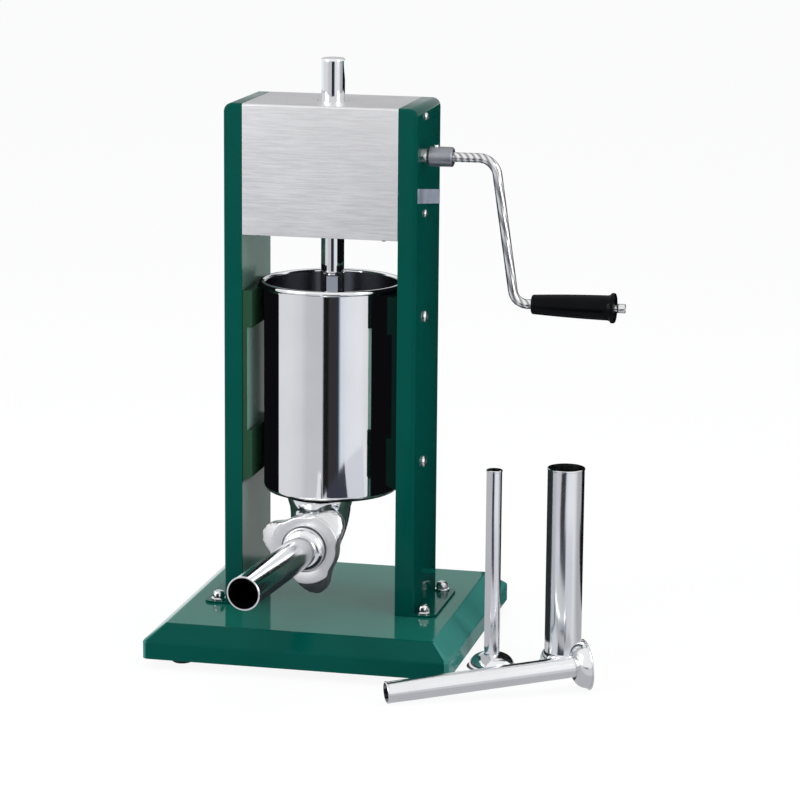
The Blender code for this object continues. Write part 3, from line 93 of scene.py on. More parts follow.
# Base pan
BASE_WIDTH = 0.322
BASE_DEPTH = 0.322
BASE_TOP_Z = 0.044
BASE_SHEET = 0.002
BEVEL_WIDTH = 0.020
SKIRT_TOP_Z = 0.028
SKIRT_BOTTOM_Z = 0.010
SKIRT_CORNER = 0.007
TOP_CORNER = 0.003
BASE_FOLD = 0.0015
# Shares of a face's normal above which the pan's top and side faces get the lighter greens of painted
# light
TOP_FACE_SHARE = 0.99
SIDE_FACE_SHARE = 0.3

# Rod
ROD_RADIUS = 0.0125
ROD_TOP_Z = 0.6165
ROD_BOTTOM_Z = 0.1955
ROD_SPIGOT_Z = 0.1675
SPIGOT_RADIUS = 0.005
ROD_TOP_ROUND = 0.0025
ROD_COLLAR_DROP = 0.0005
GEAR_MODULE = 0.0015
PRESSURE_ANGLE = math.radians(20)
RACK_PITCH_Y = 0.006
RACK_BACKLASH = 0.0003
RACK_TIP = 0.0012
RACK_ROOT = 0.001875
RACK_BELOW = 51
RACK_ABOVE = 10
GEAR_Z = 0.523

# Outlet
OUTLET_TURN = math.radians(4.6)
OUTLET_Z = 0.118
OUTLET_OFFSET = 0.036
OUTLET_HOLE_RADIUS = 0.028
FLARE_RADIUS = 0.0348
FLARE_RIM = 0.002
NECK_RADIUS = 0.0325
ELBOW_RADIUS = 0.0255
ELBOW_WALL = 0.0025
ELBOW_BEND_RADIUS = 0.035
ELBOW_STEPS = 24
THREAD_RADIUS = 0.028
THREAD_LENGTH = 0.011
THREAD_PITCH = 0.003
THREAD_DEPTH = 0.0008
GASKET_HEIGHT = 0.0015
NUT_OPENING_RADIUS = 0.0245
NUT_BODY_RADIUS = 0.034
NUT_LOBE_RADIUS = 0.050
NUT_LENGTH = 0.018
NUT_LIP = 0.004
NUT_ROUND = 0.0016
LOBE_FACE_RADIUS = 0.038
LOBE_SLOPE_DEPTH = 0.010
NUT_SIDES = 144
NUT_LOBES = 3
NUT_ROUND_STEPS = 5
LOBE_SLOPE_STEPS = 4
LOBE_BLEND_REACH = 4
LOBE_LIMIT_SHARE = 1.02
LOBE_TIP_ANGLE = math.radians(9)
LOBE_ROOT_ANGLE = math.radians(31)
LOBE_FIRST_ANGLE = math.radians(45)

# Tubes
TUBE_WALL = 0.001
TUBE_FLANGE_RADIUS = 0.026
TUBE_FLANGE_HEIGHT = 0.0015
DOME_RADIUS = 0.0236
DOME_HEIGHT = 0.013
DOME_STEPS = 12
TUBE_LIP = 0.0005
MOUNTED_TUBE = (0.0335, 0.188)
SPARE_TUBE_LENGTH = 0.209
THIN_TUBE = (0.016, SPARE_TUBE_LENGTH)
WIDE_TUBE = (0.038, SPARE_TUBE_LENGTH)
LYING_TUBE = (0.022, SPARE_TUBE_LENGTH)
THIN_TUBE_PLACE = (0.1876, -0.068)
WIDE_TUBE_PLACE = (0.257, -0.040)
LYING_TUBE_PLACE = (0.2952, -0.122)
LYING_TUBE_HEADING = math.radians(207.4)

# Crank
CRANK_Y = -0.033
HUB_RADIUS = 0.0102
HUB_LENGTH = 0.026
HUB_START_X = 0.1082
HUB_ROUND = 0.0022
HUB_SOCKET = 0.011
HUB_BORE = 0.0053
ARM_RADIUS = 0.005
CRANK_DROP = 0.1475
ARM_ELBOW_X = 0.177
ARM_WRIST_X = 0.199
ARM_ELBOW_BEND = 0.019
ARM_WRIST_BEND = 0.015
GRIP_START_X = 0.217
GRIP_LENGTH = 0.086
GRIP_RADIUS = 0.010
GRIP_SWELL_RADIUS = 0.0128
GRIP_FLANGE_RADIUS = 0.0154
GRIP_FLANGE_WIDTH = 0.005
GRIP_ROUND = 0.0018
GRIP_BORE = 0.0039
SPINDLE_RADIUS = 0.0036
SPINDLE_END_X = 0.310
ARM_STEP = 0.006
ARM_BEND_STEPS = 12
GRIP_STEPS = 14
FLANGE_STEPS = 5

# Textures, as scales, bump distances and shares
PAINT_BROAD_SCALE = 9
PAINT_FINE_SCALE = 420
ORANGE_PEEL_SHARE = 0.04
PAINT_WAVE_SHARE = 0.02
PAINT_BUMP = 0.0006
PAINT_ROUGH_SHARE = 1.6
STEEL_SMEAR_SCALE = 14
STEEL_GRAIN_SCALE = 900
STEEL_BUMP = 0.0008
STEEL_LIGHT_SHARE = 1.06
STEEL_ROUGH_SHARE = 1.5
TWIST_STRETCH = (1, 1, 0.35)
TWIST_SCALE = 95
TWIST_WANDER = 1.5
TWIST_BAND_SHARES = (0.1, 0.7)
TWIST_BUMP_SHARE = 0.3
TWIST_BUMP = 0.0006
PLASTIC_FINE_SCALE = 700
PLASTIC_BROAD_SCALE = 40
PLASTIC_BUMP = 0.0004
PLASTIC_LIGHT_SHARE = 1.5
PLASTIC_ROUGH_SHARE = 1.4
RAMP_SHARES = (0.35, 0.65)

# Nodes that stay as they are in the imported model
BRACKET_STRIP = 0.005
FLAT_FACE_SHARE = 0.9
PLATE_SHARP_ANGLE = 0.01
PISTON_SHARP_ANGLE = math.radians(30)
FOOT_EDGE = 0.0006
TRAY_EDGE = 0.0002
SCREW_EDGE = 0.0003
CAP_EDGE = 0.0004

# Fasteners, as head radius, height, shank radius and grip
FOOT_BOLT = (0.0065, 0.008, 0.004, 0.0049)
SIDE_SCREWS = {
    "bracket_bolt": (0.0062, 0.004, 0.003, 0.0258),
    "cover_screw": (0.0042, 0.0028, 0.002, 0.0238),
}
FOOT_NUT_HEIGHT = 0.0065
WASHER_HEIGHT = 0.0015
RECESS_SHARE = 0.45
RECESS_RIM_SHARE = 1.1
RECESS_LAND_SHARE = 1.2
DOME_RINGS = 8

# Blank label on the right column
LABEL_LOW_Z = 0.477
LABEL_HEIGHT = 0.015
LABEL_DROP = 0.015
LABEL_SHEET = 0.0004

# Floor, room and lamps. A lamp has a place, a width, a height, a power and whether reflections show it
FLOOR_REACH = 14
FLOOR_DROP = 0.0002
FLOOR_SHADE = (0.90, 0.90, 0.90)
FLOOR_ROUGHNESS = 0.6
FLOOR_SPECULAR = 0.2
FLOOR_GLOW_SHARE = 0.91
ROOM_SHADE = (0.80, 0.82, 0.85)
ROOM_STRENGTH = 0.75
WHITE = (1, 1, 1)
LAMP_AIM = (0, 0, 0.3)
LAMPS = {
    "left_softbox": ((-1.9, -1.7, 1.3), 1.3, 1.9, 34, True),
    "right_softbox": ((2.3, -1.2, 1.2), 0.8, 1.8, 20, True),
    "top_softbox": ((0.1, 0.1, 2.6), 1.8, 1.8, 30, False),
}

# Cards that only reflections see. Wedges have two azimuths in degrees and a height, mats an outline and a
# height, walls a plan and the heights of both edges, and each of them names its shade
CARD_RADIUS = 12
CARD_SIDES = 48
CARD_HEIGHT = 0.001
WEDGE_STEPS = 12
WEDGE_REACHES = (0.03, 0.6)
WEDGES = {
    "tube_light_card": ((-60, 60), 0.0015, "light"),
    "tube_band_card": ((-20, 16), 0.002, "band"),
}
MATS = {
    "lying_far_card": (((0.05, -0.28), (0.34, -0.14), (0.42, -0.32), (0.12, -0.46)), 0.0025, "pale"),
    "lying_near_card": (((0.05, -0.225), (0.34, -0.085), (0.36, -0.14), (0.07, -0.28)), 0.003, "grey"),
    "rear_right_mat": (((0.10, 0.165), (0.8, 0.165), (0.8, 0.32), (0.10, 0.32)), 0.0015, "dark"),
    "base_card": (
        ((-0.14, -0.158), (0.14, -0.158), (0.14, 0.12), (-0.14, 0.12)), BASE_TOP_Z + SEAT_GAP, "below",
    ),
}
WALLS = {
    "rear_right_card": (((0.10, 0.32), (0.8, 0.32)), (CARD_HEIGHT, 0.56), "dark"),
    "rear_high_card": (((-1.6, 1.5), (1.6, 1.5)), (0.58, 3), "high"),
    "rear_low_card": (((-1.6, 1.5), (1.6, 1.5)), (0.10, 0.58), "tinted"),
    "thin_tube_flag": (((0.174, -0.12), (0.174, 0)), (0.02, 0.21), "side"),
    "wide_tube_flag": (((0.222, -0.060), (0.222, 0)), (0.02, 0.21), "edge"),
    "rod_flag": (((0.079, -0.055), (0.079, 0.055)), (0.392, 0.436), "dark"),
}
FLAG_STEPS = 24
FLAG_AZIMUTHS = {"left": (-120, -38), "right": (49, 120)}
FLAG_RADIUS = 0.0725
FLAG_TOP_Z = 0.377
RIM_FLAG_TOP_Z = 0.391
RIM_FLAG_SHARE = 1.075
BORE_CARD_RADIUS = 0.060
BORE_CARD_AZIMUTHS = (-40, 60)
BORE_CARD_LOW_Z = 0.28
CARD_SHADES = {
    "dark": (0.004, 0.004, 0.005),
    "light": (0.70, 0.71, 0.76),
    "grey": (0.50, 0.50, 0.52),
    "pale": (0.66, 0.67, 0.69),
    "band": (0.045, 0.047, 0.065),
    "high": (0.60, 0.60, 0.61),
    "tinted": (0.92, 1.14, 1.08),
    "side": (0.52, 0.52, 0.55),
    "edge": (0.020, 0.028, 0.030),
    "below": (0.014, 0.022, 0.026),
    "bore": (0.30, 0.32, 0.38),
}
ONE_SIDED_CARDS = ("side", "edge", "below", "bore")
FLOOR_SECTORS = (
    (-89, (0.78, 0.79, 0.80)),
    (269, (0.95, 0.95, 0.96)),
    (-60, (0.80, 0.80, 0.81)),
    (-40, (0.72, 0.73, 0.75)),
    (-28, (0.60, 0.61, 0.64)),
    (-6, (0.60, 0.60, 0.63)),
    (-2, (0.62, 0.62, 0.65)),
    (0, (0.012, 0.012, 0.014)),
    (7, (0.010, 0.010, 0.012)),
    (9, (0.040, 0.035, 0.034)),
    (18, (0.036, 0.034, 0.036)),
    (24, (0.030, 0.040, 0.060)),
    (28, (0.74, 0.78, 0.84)),
    (40, (0.84, 0.86, 0.90)),
    (60, (0.88, 0.89, 0.92)),
    (75, (0.80, 0.80, 0.82)),
    (88, (0.46, 0.46, 0.48)),
    (140, (0.46, 0.46, 0.48)),
    (155, (0.95, 0.95, 0.96)),
)

INNER_X = GEARBOX_WIDTH / 2
OUTER_X = INNER_X + COLUMN_WIDTH
STRIP_REACH = INNER_X - SEAT_GAP - BRACKET_STRIP
CHEEK_X = INNER_X - SEAT_GAP
CYLINDER_RADIUS = BORE_RADIUS + CYLINDER_WALL
RIM_CENTRE_RADIUS = CYLINDER_RADIUS + RIM_BEAD_RADIUS - CYLINDER_WALL / 2
RIM_CENTRE_Z = CYLINDER_BOTTOM_Z + CYLINDER_HEIGHT - RIM_BEAD_RADIUS
MOUTH_REACH = OUTLET_OFFSET + ELBOW_BEND_RADIUS + THREAD_LENGTH
TUBE_REACH = MOUTH_REACH + SEAT_GAP + GASKET_HEIGHT + SEAT_GAP
NUT_FRONT_REACH = TUBE_REACH + TUBE_FLANGE_HEIGHT + SEAT_GAP + NUT_LIP
SIDEWAYS = Matrix.Rotation(QUARTER, 4, "Y")
FORWARDS = Matrix.Rotation(QUARTER, 4, "X")


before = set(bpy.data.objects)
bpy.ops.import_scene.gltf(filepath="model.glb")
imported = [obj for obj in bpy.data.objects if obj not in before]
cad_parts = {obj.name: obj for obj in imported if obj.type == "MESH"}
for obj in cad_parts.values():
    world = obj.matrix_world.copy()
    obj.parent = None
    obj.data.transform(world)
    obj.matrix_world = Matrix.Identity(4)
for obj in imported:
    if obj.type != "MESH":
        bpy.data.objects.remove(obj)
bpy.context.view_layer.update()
pan_low, pan_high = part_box("base_pan")
MACHINE = Vector(((pan_low.x + pan_high.x) / 2, (pan_low.y + pan_high.y) / 2, 0))


def new_material(name):
    look = bpy.data.materials.new(name)
    look.use_nodes = True
    return look, look.node_tree.nodes


def link(source, socket):
    socket.id_data.links.new(source, socket)


def ramp(nodes, source, low, high, shares=RAMP_SHARES):
    """A grey or coloured ramp over a texture's value."""
    node = nodes.new("ShaderNodeValToRGB")
    for mark, share, shade in zip(node.color_ramp.elements, shares, (low, high)):
        mark.position = share
        mark.color = (*shade, 1) if isinstance(shade, tuple) else (shade, shade, shade, 1)
    link(source, node.inputs["Fac"])
    return node.outputs["Color"]


def texture(nodes, kind, scale, stretch):
    """A texture over object coordinates, stretched along the axes."""
    place = nodes.new("ShaderNodeTexCoord")
    mapping = nodes.new("ShaderNodeMapping")
    mapping.inputs["Scale"].default_value = stretch
    node = nodes.new(kind)
    node.inputs["Scale"].default_value = scale
    link(place.outputs["Object"], mapping.inputs["Vector"])
    link(mapping.outputs["Vector"], node.inputs["Vector"])
    return node


def noise(nodes, scale, detail=3, stretch=(1, 1, 1)):
    node = texture(nodes, "ShaderNodeTexNoise", scale, stretch)
    node.inputs["Detail"].default_value = detail
    return node.outputs["Fac"]


def bump(nodes, heights, distance):
    """Bump from several height textures, each with a strength."""
    last = None
    for source, strength in heights:
        node = nodes.new("ShaderNodeBump")
        node.inputs["Strength"].default_value = strength
        node.inputs["Distance"].default_value = distance
        link(source, node.inputs["Height"])
        if last:
            link(last, node.inputs["Normal"])
        last = node.outputs["Normal"]
    return last


def wire(nodes, colour, rough, normal):
    """Joins textures to a material's colour, roughness and normal."""
    surface = nodes["Principled BSDF"]
    for source, socket in ((colour, "Base Color"), (rough, "Roughness"), (normal, "Normal")):
        link(source, surface.inputs[socket])
    return surface


def paint(name, low, high, roughness, specular):
    """Gloss paint with a faint orange peel and a little variation in colour."""
    look, nodes = new_material(name)
    broad = noise(nodes, PAINT_BROAD_SCALE)
    fine = noise(nodes, PAINT_FINE_SCALE, 2)
    heights = [(fine, ORANGE_PEEL_SHARE), (broad, PAINT_WAVE_SHARE)]
    rough = ramp(nodes, broad, roughness, roughness * PAINT_ROUGH_SHARE)
    surface = wire(nodes, ramp(nodes, broad, low, high), rough, bump(nodes, heights, PAINT_BUMP))
    surface.inputs["Specular IOR Level"].default_value = specular
    return look


def steel(name, colour, roughness, waviness, stretch=(1, 1, 1), brushing=0.0, grain=STEEL_GRAIN_SCALE):
    """Steel with a soft waviness and, if asked for, a brushed grain along one axis."""
    look, nodes = new_material(name)
    smear = noise(nodes, STEEL_SMEAR_SCALE)
    lines = noise(nodes, grain, 2, stretch)
    light = tuple(min(1, channel * STEEL_LIGHT_SHARE) for channel in colour)
    rough = ramp(nodes, lines, roughness, roughness * STEEL_ROUGH_SHARE)
    heights = [(smear, waviness)] + ([(lines, brushing)] if brushing else [])
    surface = wire(nodes, ramp(nodes, smear, colour, light), rough, bump(nodes, heights, STEEL_BUMP))
    surface.inputs["Metallic"].default_value = 1
    return look


def twisted_steel(name, dark, light, roughness):
    """Steel with slanting light and dark streaks, as a cold-twisted bar has."""
    look, nodes = new_material(name)
    wave = texture(nodes, "ShaderNodeTexWave", TWIST_SCALE, TWIST_STRETCH)
    wave.bands_direction = "DIAGONAL"
    wave.inputs["Distortion"].default_value = TWIST_WANDER
    streaks = wave.outputs["Fac"]
    colour = ramp(nodes, streaks, dark, light, TWIST_BAND_SHARES)
    rough = ramp(nodes, streaks, roughness * STEEL_ROUGH_SHARE, roughness)
    surface = wire(nodes, colour, rough, bump(nodes, [(streaks, TWIST_BUMP_SHARE)], TWIST_BUMP))
    surface.inputs["Metallic"].default_value = 1
    return look


def plastic(name, colour, roughness, specular, grain):
    look, nodes = new_material(name)
    fine = noise(nodes, PLASTIC_FINE_SCALE, 2)
    broad = noise(nodes, PLASTIC_BROAD_SCALE)
    light = tuple(channel * PLASTIC_LIGHT_SHARE for channel in colour)
    rough = ramp(nodes, broad, roughness, roughness * PLASTIC_ROUGH_SHARE)
    normal = bump(nodes, [(fine, grain)], PLASTIC_BUMP)
    surface = wire(nodes, ramp(nodes, broad, colour, light), rough, normal)
    surface.inputs["Specular IOR Level"].default_value = specular
    return look


GREEN = paint("gloss_green", (0.0003, 0.058, 0.045), (0.0004, 0.064, 0.050), 0.08, 0.05)
# Lighter green for the base pan's top face: painted light and painted reflection of the white room, on
# the same gloss paint as the rest of the pan
LIT_TOP_GREEN = paint("painted_lit_top_green", (0.006, 0.100, 0.076), (0.008, 0.112, 0.086), 0.06, 0.05)
# Much lighter green for the pan's left and right faces: painted light and painted reflection, on the same
# gloss paint
LIT_SIDE_GREEN = paint("painted_lit_side_green", (0.034, 0.180, 0.155), (0.040, 0.200, 0.172), 0.08, 0.05)
# Lighter grey-green for the side plates: a painted reflection of the white room in the gloss paint, and
# painted light where little lamp light falls
SHEEN_PLATE_GREEN = paint("painted_sheen_plate_green", (0.085, 0.160, 0.128), (0.100, 0.180, 0.144), 0.16, 0.045)
# Light green for the strip between a bracket's ears: a painted reflection of the white room
SHEEN_STRIP_GREEN = paint("painted_sheen_strip_green", (0.210, 0.350, 0.290), (0.240, 0.390, 0.320), 0.20, 0.04)
# Dark and nearly black greens for the left and right cylinder brackets: painted shade and painted shadow
# on what is one paint
BRACKET_SHADE_GREEN = paint("shaded_green", (0.018, 0.056, 0.030), (0.022, 0.066, 0.036), 0.16, 0.05)
BRACKET_SHADOW_GREEN = paint("painted_shadow_green", (0.0006, 0.009, 0.006), (0.0008, 0.012, 0.008), 0.16, 0.05)
MIRROR = steel("mirror_steel", (0.80, 0.81, 0.83), 0.045, 0.03)
TUBE = steel("tube_steel", (0.80, 0.81, 0.83), 0.11, 0.03)
# Darker steel for the insides of the cylinder and tubes: painted shade on what is the same polished steel
SHADED_INNER_STEEL = steel("painted_shade_steel", (0.26, 0.26, 0.27), 0.16, 0.05)
SATIN = steel("satin_steel", (0.66, 0.66, 0.675), 0.31, 0.004, (0.04, 1, 1), 0.0015)
CAST = steel("cast_metal", (0.66, 0.66, 0.67), 0.30, 0.12, (1, 1, 1), 0.05, 300)
BOLT = steel("bolt_steel", (0.72, 0.72, 0.73), 0.12, 0.05)
GEAR = steel("gear_steel", (0.33, 0.33, 0.34), 0.30, 0.05, (1, 1, 1), 0.05)
BRONZE = steel("bearing_bronze", (0.50, 0.33, 0.14), 0.30, 0.05)
HUB = steel("turned_steel", (0.28, 0.29, 0.32), 0.30, 0.04, (0.05, 1, 1), 0.02)
ARM = twisted_steel("drawn_steel", (0.30, 0.30, 0.31), (0.80, 0.80, 0.81), 0.16)
LABEL = plastic("blank_label", (0.20, 0.22, 0.27), 0.40, 0.2, 0.02)
GRIP = plastic("black_plastic", (0.0016, 0.0017, 0.0022), 0.15, 0.07, 0.012)
RUBBER = plastic("foot_rubber", (0.015, 0.015, 0.015), 0.65, 0.3, 0.2)
SILICONE = plastic("white_silicone", (0.62, 0.62, 0.60), 0.45, 0.4, 0.05)


def add_object(name, data):
    item = bpy.data.objects.new(name, data)
    bpy.context.scene.collection.objects.link(item)
    return item


def add_mesh(name, shape):
    mesh = bpy.data.meshes.new(name)
    shape.to_mesh(mesh)
    shape.free()
    mesh.shade_smooth()
    mesh.set_sharp_from_angle(angle=SHARP_ANGLE)
    return add_object(name, mesh)


def add_piece(name, shape, look, body, nodes, place=(0, 0, 0), turn=None):
    """A finer piece that stands for CAD nodes. Place and turn are in the machine's layout."""
    piece = add_mesh(name, shape)
    piece.data.materials.append(look)
    spot = Matrix.Translation(MACHINE + Vector(place))
    piece.matrix_world = spot @ turn if turn else spot
    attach(piece, body)
    if nodes:
        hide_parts(*nodes)
    return piece


def cut(target, name, shape, operation="DIFFERENCE"):
    """Cuts the shape out of the target, or joins it on, in the target's own frame, for good."""
    tool = add_mesh(name, shape)
    for look in target.data.materials:
        tool.data.materials.append(look)
    tool.matrix_world = target.matrix_world
    bpy.context.view_layer.update()
    modifier = target.modifiers.new(name, "BOOLEAN")
    modifier.operation = operation
    modifier.object = tool
    bpy.context.view_layer.update()
    graph = bpy.context.evaluated_depsgraph_get()
    mesh = bpy.data.meshes.new_from_object(target.evaluated_get(graph))
    target.modifiers.remove(modifier)
    target.data = mesh
    mesh.shade_smooth()
    mesh.set_sharp_from_angle(angle=SHARP_ANGLE)
    bpy.data.objects.remove(tool)


def turned(profile, sides):
    """A solid turned about Z from (radius, height) points. It closes on the axis, or else on itself."""
    shape = bmesh.new()
    points = [shape.verts.new((radius, 0, height)) for radius, height in profile]
    on_axis = profile[0][0] == 0 and profile[-1][0] == 0
    following = points[1:] if on_axis else points[1:] + points[:1]
    edges = [shape.edges.new(pair) for pair in zip(points, following)]
    bmesh.ops.spin(
        shape, geom=points + edges, axis=(0, 0, 1), angle=math.tau, steps=sides, use_merge=True
    )
    bmesh.ops.remove_doubles(shape, verts=shape.verts, dist=WELD_DISTANCE)
    bmesh.ops.recalc_face_normals(shape, faces=shape.faces)
    return shape


def lofted(rings, loop=False):
    """A skin over rings with as many points each, capped at its ends or closed on itself as a loop."""
    shape = bmesh.new()
    rows = [[shape.verts.new(point) for point in ring] for ring in rings]
    following = rows[1:] + rows[:1] if loop else rows[1:]
    for low, high in zip(rows, following):
        for i, corner in enumerate(low):
            j = (i + 1) % len(low)
            shape.faces.new((corner, low[j], high[j], high[i]))
    if not loop:
        shape.faces.new(rows[0])
        shape.faces.new(rows[-1])
    bmesh.ops.recalc_face_normals(shape, faces=shape.faces)
    return shape


def along(axis, first, second, distance):
    if axis == "X":
        return (distance, first, second)
    if axis == "Y":
        return (first, distance, second)
    return (first, second, distance)


def prism(outline, low, high, axis="Z"):
    return lofted([[along(axis, a, b, end) for a, b in outline] for end in (low, high)])


def arc(centre, radius, start, end, steps):
    angles = [start + (end - start) * i / steps for i in range(steps + 1)]
    return [(centre[0] + radius * cos(t), centre[1] + radius * sin(t)) for t in angles]


def circle(radius, sides, centre=(0, 0)):
    return arc(centre, radius, 0, math.tau, sides)[:-1]


def ring_at(points, height):
    return [(x, y, height) for x, y in points]


def round_ring(radius, height):
    return ring_at(circle(radius, BOLT_SIDES), height)


def hexagon_ring(radius, height):
    """Points on a hexagon, as many as on the circles that it is lofted with."""
    corner = math.pi / 6
    ring = []
    for i in range(BOLT_SIDES):
        angle = math.tau * i / BOLT_SIDES
        off = (angle + corner) % (corner * 2) - corner
        reach = radius * cos(corner) / cos(corner - abs(off))
        ring.append((reach * cos(angle), reach * sin(angle), height))
    return ring


def outlet_turn(extra=None):
    spin = Matrix.Rotation(-OUTLET_TURN, 4, "Z")
    return spin @ extra if extra else spin


def build_cylinder():
    outer, inner = CYLINDER_RADIUS, BORE_RADIUS
    corner = CYLINDER_CORNER
    top = RIM_CENTRE_Z - CYLINDER_BOTTOM_Z
    leave = math.pi - math.acos((RIM_CENTRE_RADIUS - outer) / RIM_BEAD_RADIUS)
    low_corner = arc((outer - corner, corner), corner, -QUARTER, 0, CORNER_STEPS)
    bead = arc((RIM_CENTRE_RADIUS, top), RIM_BEAD_RADIUS, -leave, math.pi, BEAD_STEPS)
    inner_corner = arc((outer - corner, corner), corner - CYLINDER_WALL, 0, -QUARTER, FOLD_STEPS)
    middle_radius = outer / 2
    profile = [(0, 0), (middle_radius, 0)] + low_corner + bead + [(inner, top)]
    profile += inner_corner + [(middle_radius, CYLINDER_WALL), (0, CYLINDER_WALL)]
    place = (0, 0, CYLINDER_BOTTOM_Z)
    can = add_piece(
        "polished_cylinder", turned(profile, CAN_SIDES), MIRROR, "frame", ["cylinder"],
        place, outlet_turn(),
    )
    hole = prism(circle(OUTLET_HOLE_RADIUS, TUBE_SIDES, (0, -OUTLET_OFFSET)), -OVERRUN, OVERRUN)
    cut(can, "outlet_hole", hole)
    # The bore's faces get the darker steel of painted shade
    can.data.materials.append(SHADED_INNER_STEEL)
    for face in can.data.polygons:
        middle = Vector(face.center)
        inside = math.hypot(middle.x, middle.y) < inner + WELD_DISTANCE
        if inside and WELD_DISTANCE < middle.z < top + RIM_BEAD_RADIUS / 2:
            face.material_index = 1


def elbow_ring(reach, height, heading, radius):
    centre = Vector((0, -reach, height))
    spread = Vector((0, -cos(heading), sin(heading)))
    ring = []
    for i in range(TUBE_SIDES):
        angle = math.tau * i / TUBE_SIDES
        ring.append(centre + radius * (cos(angle) * Vector((1, 0, 0)) + sin(angle) * spread))
    return ring


def build_elbow():
    top = CYLINDER_BOTTOM_Z - SEAT_GAP
    down = OUTLET_OFFSET
    forward = QUARTER
    bend = []
    for i in range(ELBOW_STEPS + 1):
        share = i / ELBOW_STEPS
        heading = forward * share
        reach = down + ELBOW_BEND_RADIUS * (1 - cos(heading))
        height = OUTLET_Z + ELBOW_BEND_RADIUS * (1 - sin(heading))
        bend.append((reach, height, heading, NECK_RADIUS + (ELBOW_RADIUS - NECK_RADIUS) * share))
    shoulder = MOUTH_REACH - THREAD_LENGTH
    thread_root = THREAD_RADIUS - THREAD_DEPTH
    outer = [elbow_ring(down, top, 0, FLARE_RADIUS), elbow_ring(down, top - FLARE_RIM, 0, FLARE_RADIUS)]
    outer += [elbow_ring(*place) for place in bend]
    outer.append(elbow_ring(shoulder, OUTLET_Z, forward, thread_root))
    turns = int(THREAD_LENGTH / THREAD_PITCH)
    for turn in range(turns):
        start = shoulder + turn * THREAD_PITCH
        for share, radius in ((1 / 4, thread_root), (1 / 2, THREAD_RADIUS), (3 / 4, THREAD_RADIUS)):
            outer.append(elbow_ring(start + THREAD_PITCH * share, OUTLET_Z, forward, radius))
    outer.append(elbow_ring(MOUTH_REACH, OUTLET_Z, forward, thread_root))
    inner = [elbow_ring(down, top, 0, OUTLET_HOLE_RADIUS)]
    inner += [elbow_ring(*place[:3], place[3] - ELBOW_WALL) for place in bend]
    inner.append(elbow_ring(MOUTH_REACH, OUTLET_Z, forward, ELBOW_RADIUS - ELBOW_WALL))
    add_piece(
        "cast_elbow", lofted(outer + inner[::-1], loop=True), MIRROR, "frame", ["outlet_elbow"],
        (0, 0, 0), outlet_turn(),
    )


def lobe_radius(angle):
    pitch = math.tau / NUT_LOBES
    off = abs((angle - LOBE_FIRST_ANGLE + pitch / 2) % pitch - pitch / 2)
    if off <= LOBE_TIP_ANGLE:
        return NUT_LOBE_RADIUS / cos(off)
    if off >= LOBE_ROOT_ANGLE:
        return NUT_BODY_RADIUS
    fall = (off - LOBE_TIP_ANGLE) / (LOBE_ROOT_ANGLE - LOBE_TIP_ANGLE)
    return NUT_LOBE_RADIUS + (NUT_BODY_RADIUS - NUT_LOBE_RADIUS) * fall


def build_nut():
    angles = [math.tau * i / NUT_SIDES for i in range(NUT_SIDES)]
    raw = [lobe_radius(t) for t in angles]
    reach = LOBE_BLEND_REACH
    smooth = []
    for i in range(NUT_SIDES):
        around = [raw[(i + k) % NUT_SIDES] for k in range(-reach, reach + 1)]
        smooth.append(sum(around) / len(around))
    bore = THREAD_RADIUS + SEAT_GAP * 2

    def outer(inset, depth, limit=NUT_LOBE_RADIUS * 2):
        radii = [min(r, limit) - inset for r in smooth]
        return [(r * cos(t), r * sin(t), -depth) for r, t in zip(radii, angles)]

    def inner(radius, depth):
        return [(radius * cos(t), radius * sin(t), -depth) for t in angles]

    rings = []
    steps = NUT_ROUND_STEPS
    for i in range(steps + 1):
        t = QUARTER * i / steps
        inset, depth = NUT_ROUND * (1 - sin(t)), NUT_ROUND * (1 - cos(t))
        rings.append(outer(inset, depth, LOBE_FACE_RADIUS))
    for i in range(1, LOBE_SLOPE_STEPS + 1):
        share = i / LOBE_SLOPE_STEPS
        limit = LOBE_FACE_RADIUS + (NUT_LOBE_RADIUS * LOBE_LIMIT_SHARE - LOBE_FACE_RADIUS) * share
        rings.append(outer(0, NUT_ROUND + (LOBE_SLOPE_DEPTH - NUT_ROUND) * share, limit))
    for i in range(steps + 1):
        t = QUARTER * i / steps
        rings.append(outer(NUT_ROUND * (1 - cos(t)), NUT_LENGTH - NUT_ROUND * (1 - sin(t))))
    lip = NUT_OPENING_RADIUS
    edge = NUT_ROUND / 3
    rings += [
        inner(bore, NUT_LENGTH), inner(bore, NUT_LIP), inner(lip, NUT_LIP),
        inner(lip, edge), inner(lip + edge / 3, edge / 3), inner(lip + edge, 0),
    ]
    place = outlet_turn(FORWARDS)
    spot = outlet_turn() @ Vector((0, -NUT_FRONT_REACH, OUTLET_Z))
    shape = lofted(rings, loop=True)
    add_piece("lobed_nut", shape, CAST, "nut", ["tube_nut"], spot, place)


def tube_profile(tube):
    outer = tube[0] / 2
    length = tube[1]
    inner = outer - TUBE_WALL
    run_in = DOME_RADIUS - outer
    start = TUBE_FLANGE_HEIGHT
    outside = []
    inside = []
    for i in range(DOME_STEPS + 1):
        angle = QUARTER * i / DOME_STEPS
        across, up = 1 - cos(angle), sin(angle)
        outside.append((DOME_RADIUS - run_in * across, start + DOME_HEIGHT * up))
        inside.append((DOME_RADIUS - TUBE_WALL - run_in * across, DOME_HEIGHT * up))
    edge = start / 3
    flange = [
        (TUBE_FLANGE_RADIUS - edge, 0), (TUBE_FLANGE_RADIUS, edge),
        (TUBE_FLANGE_RADIUS, start - edge), (TUBE_FLANGE_RADIUS - edge, start),
    ]
    lip = [
        (outer, length - TUBE_LIP * 4), (outer + TUBE_LIP, length - TUBE_LIP * 3),
        (outer + TUBE_LIP, length - TUBE_LIP), (outer, length), (inner, length),
    ]
    return flange + outside + lip + inside[::-1]


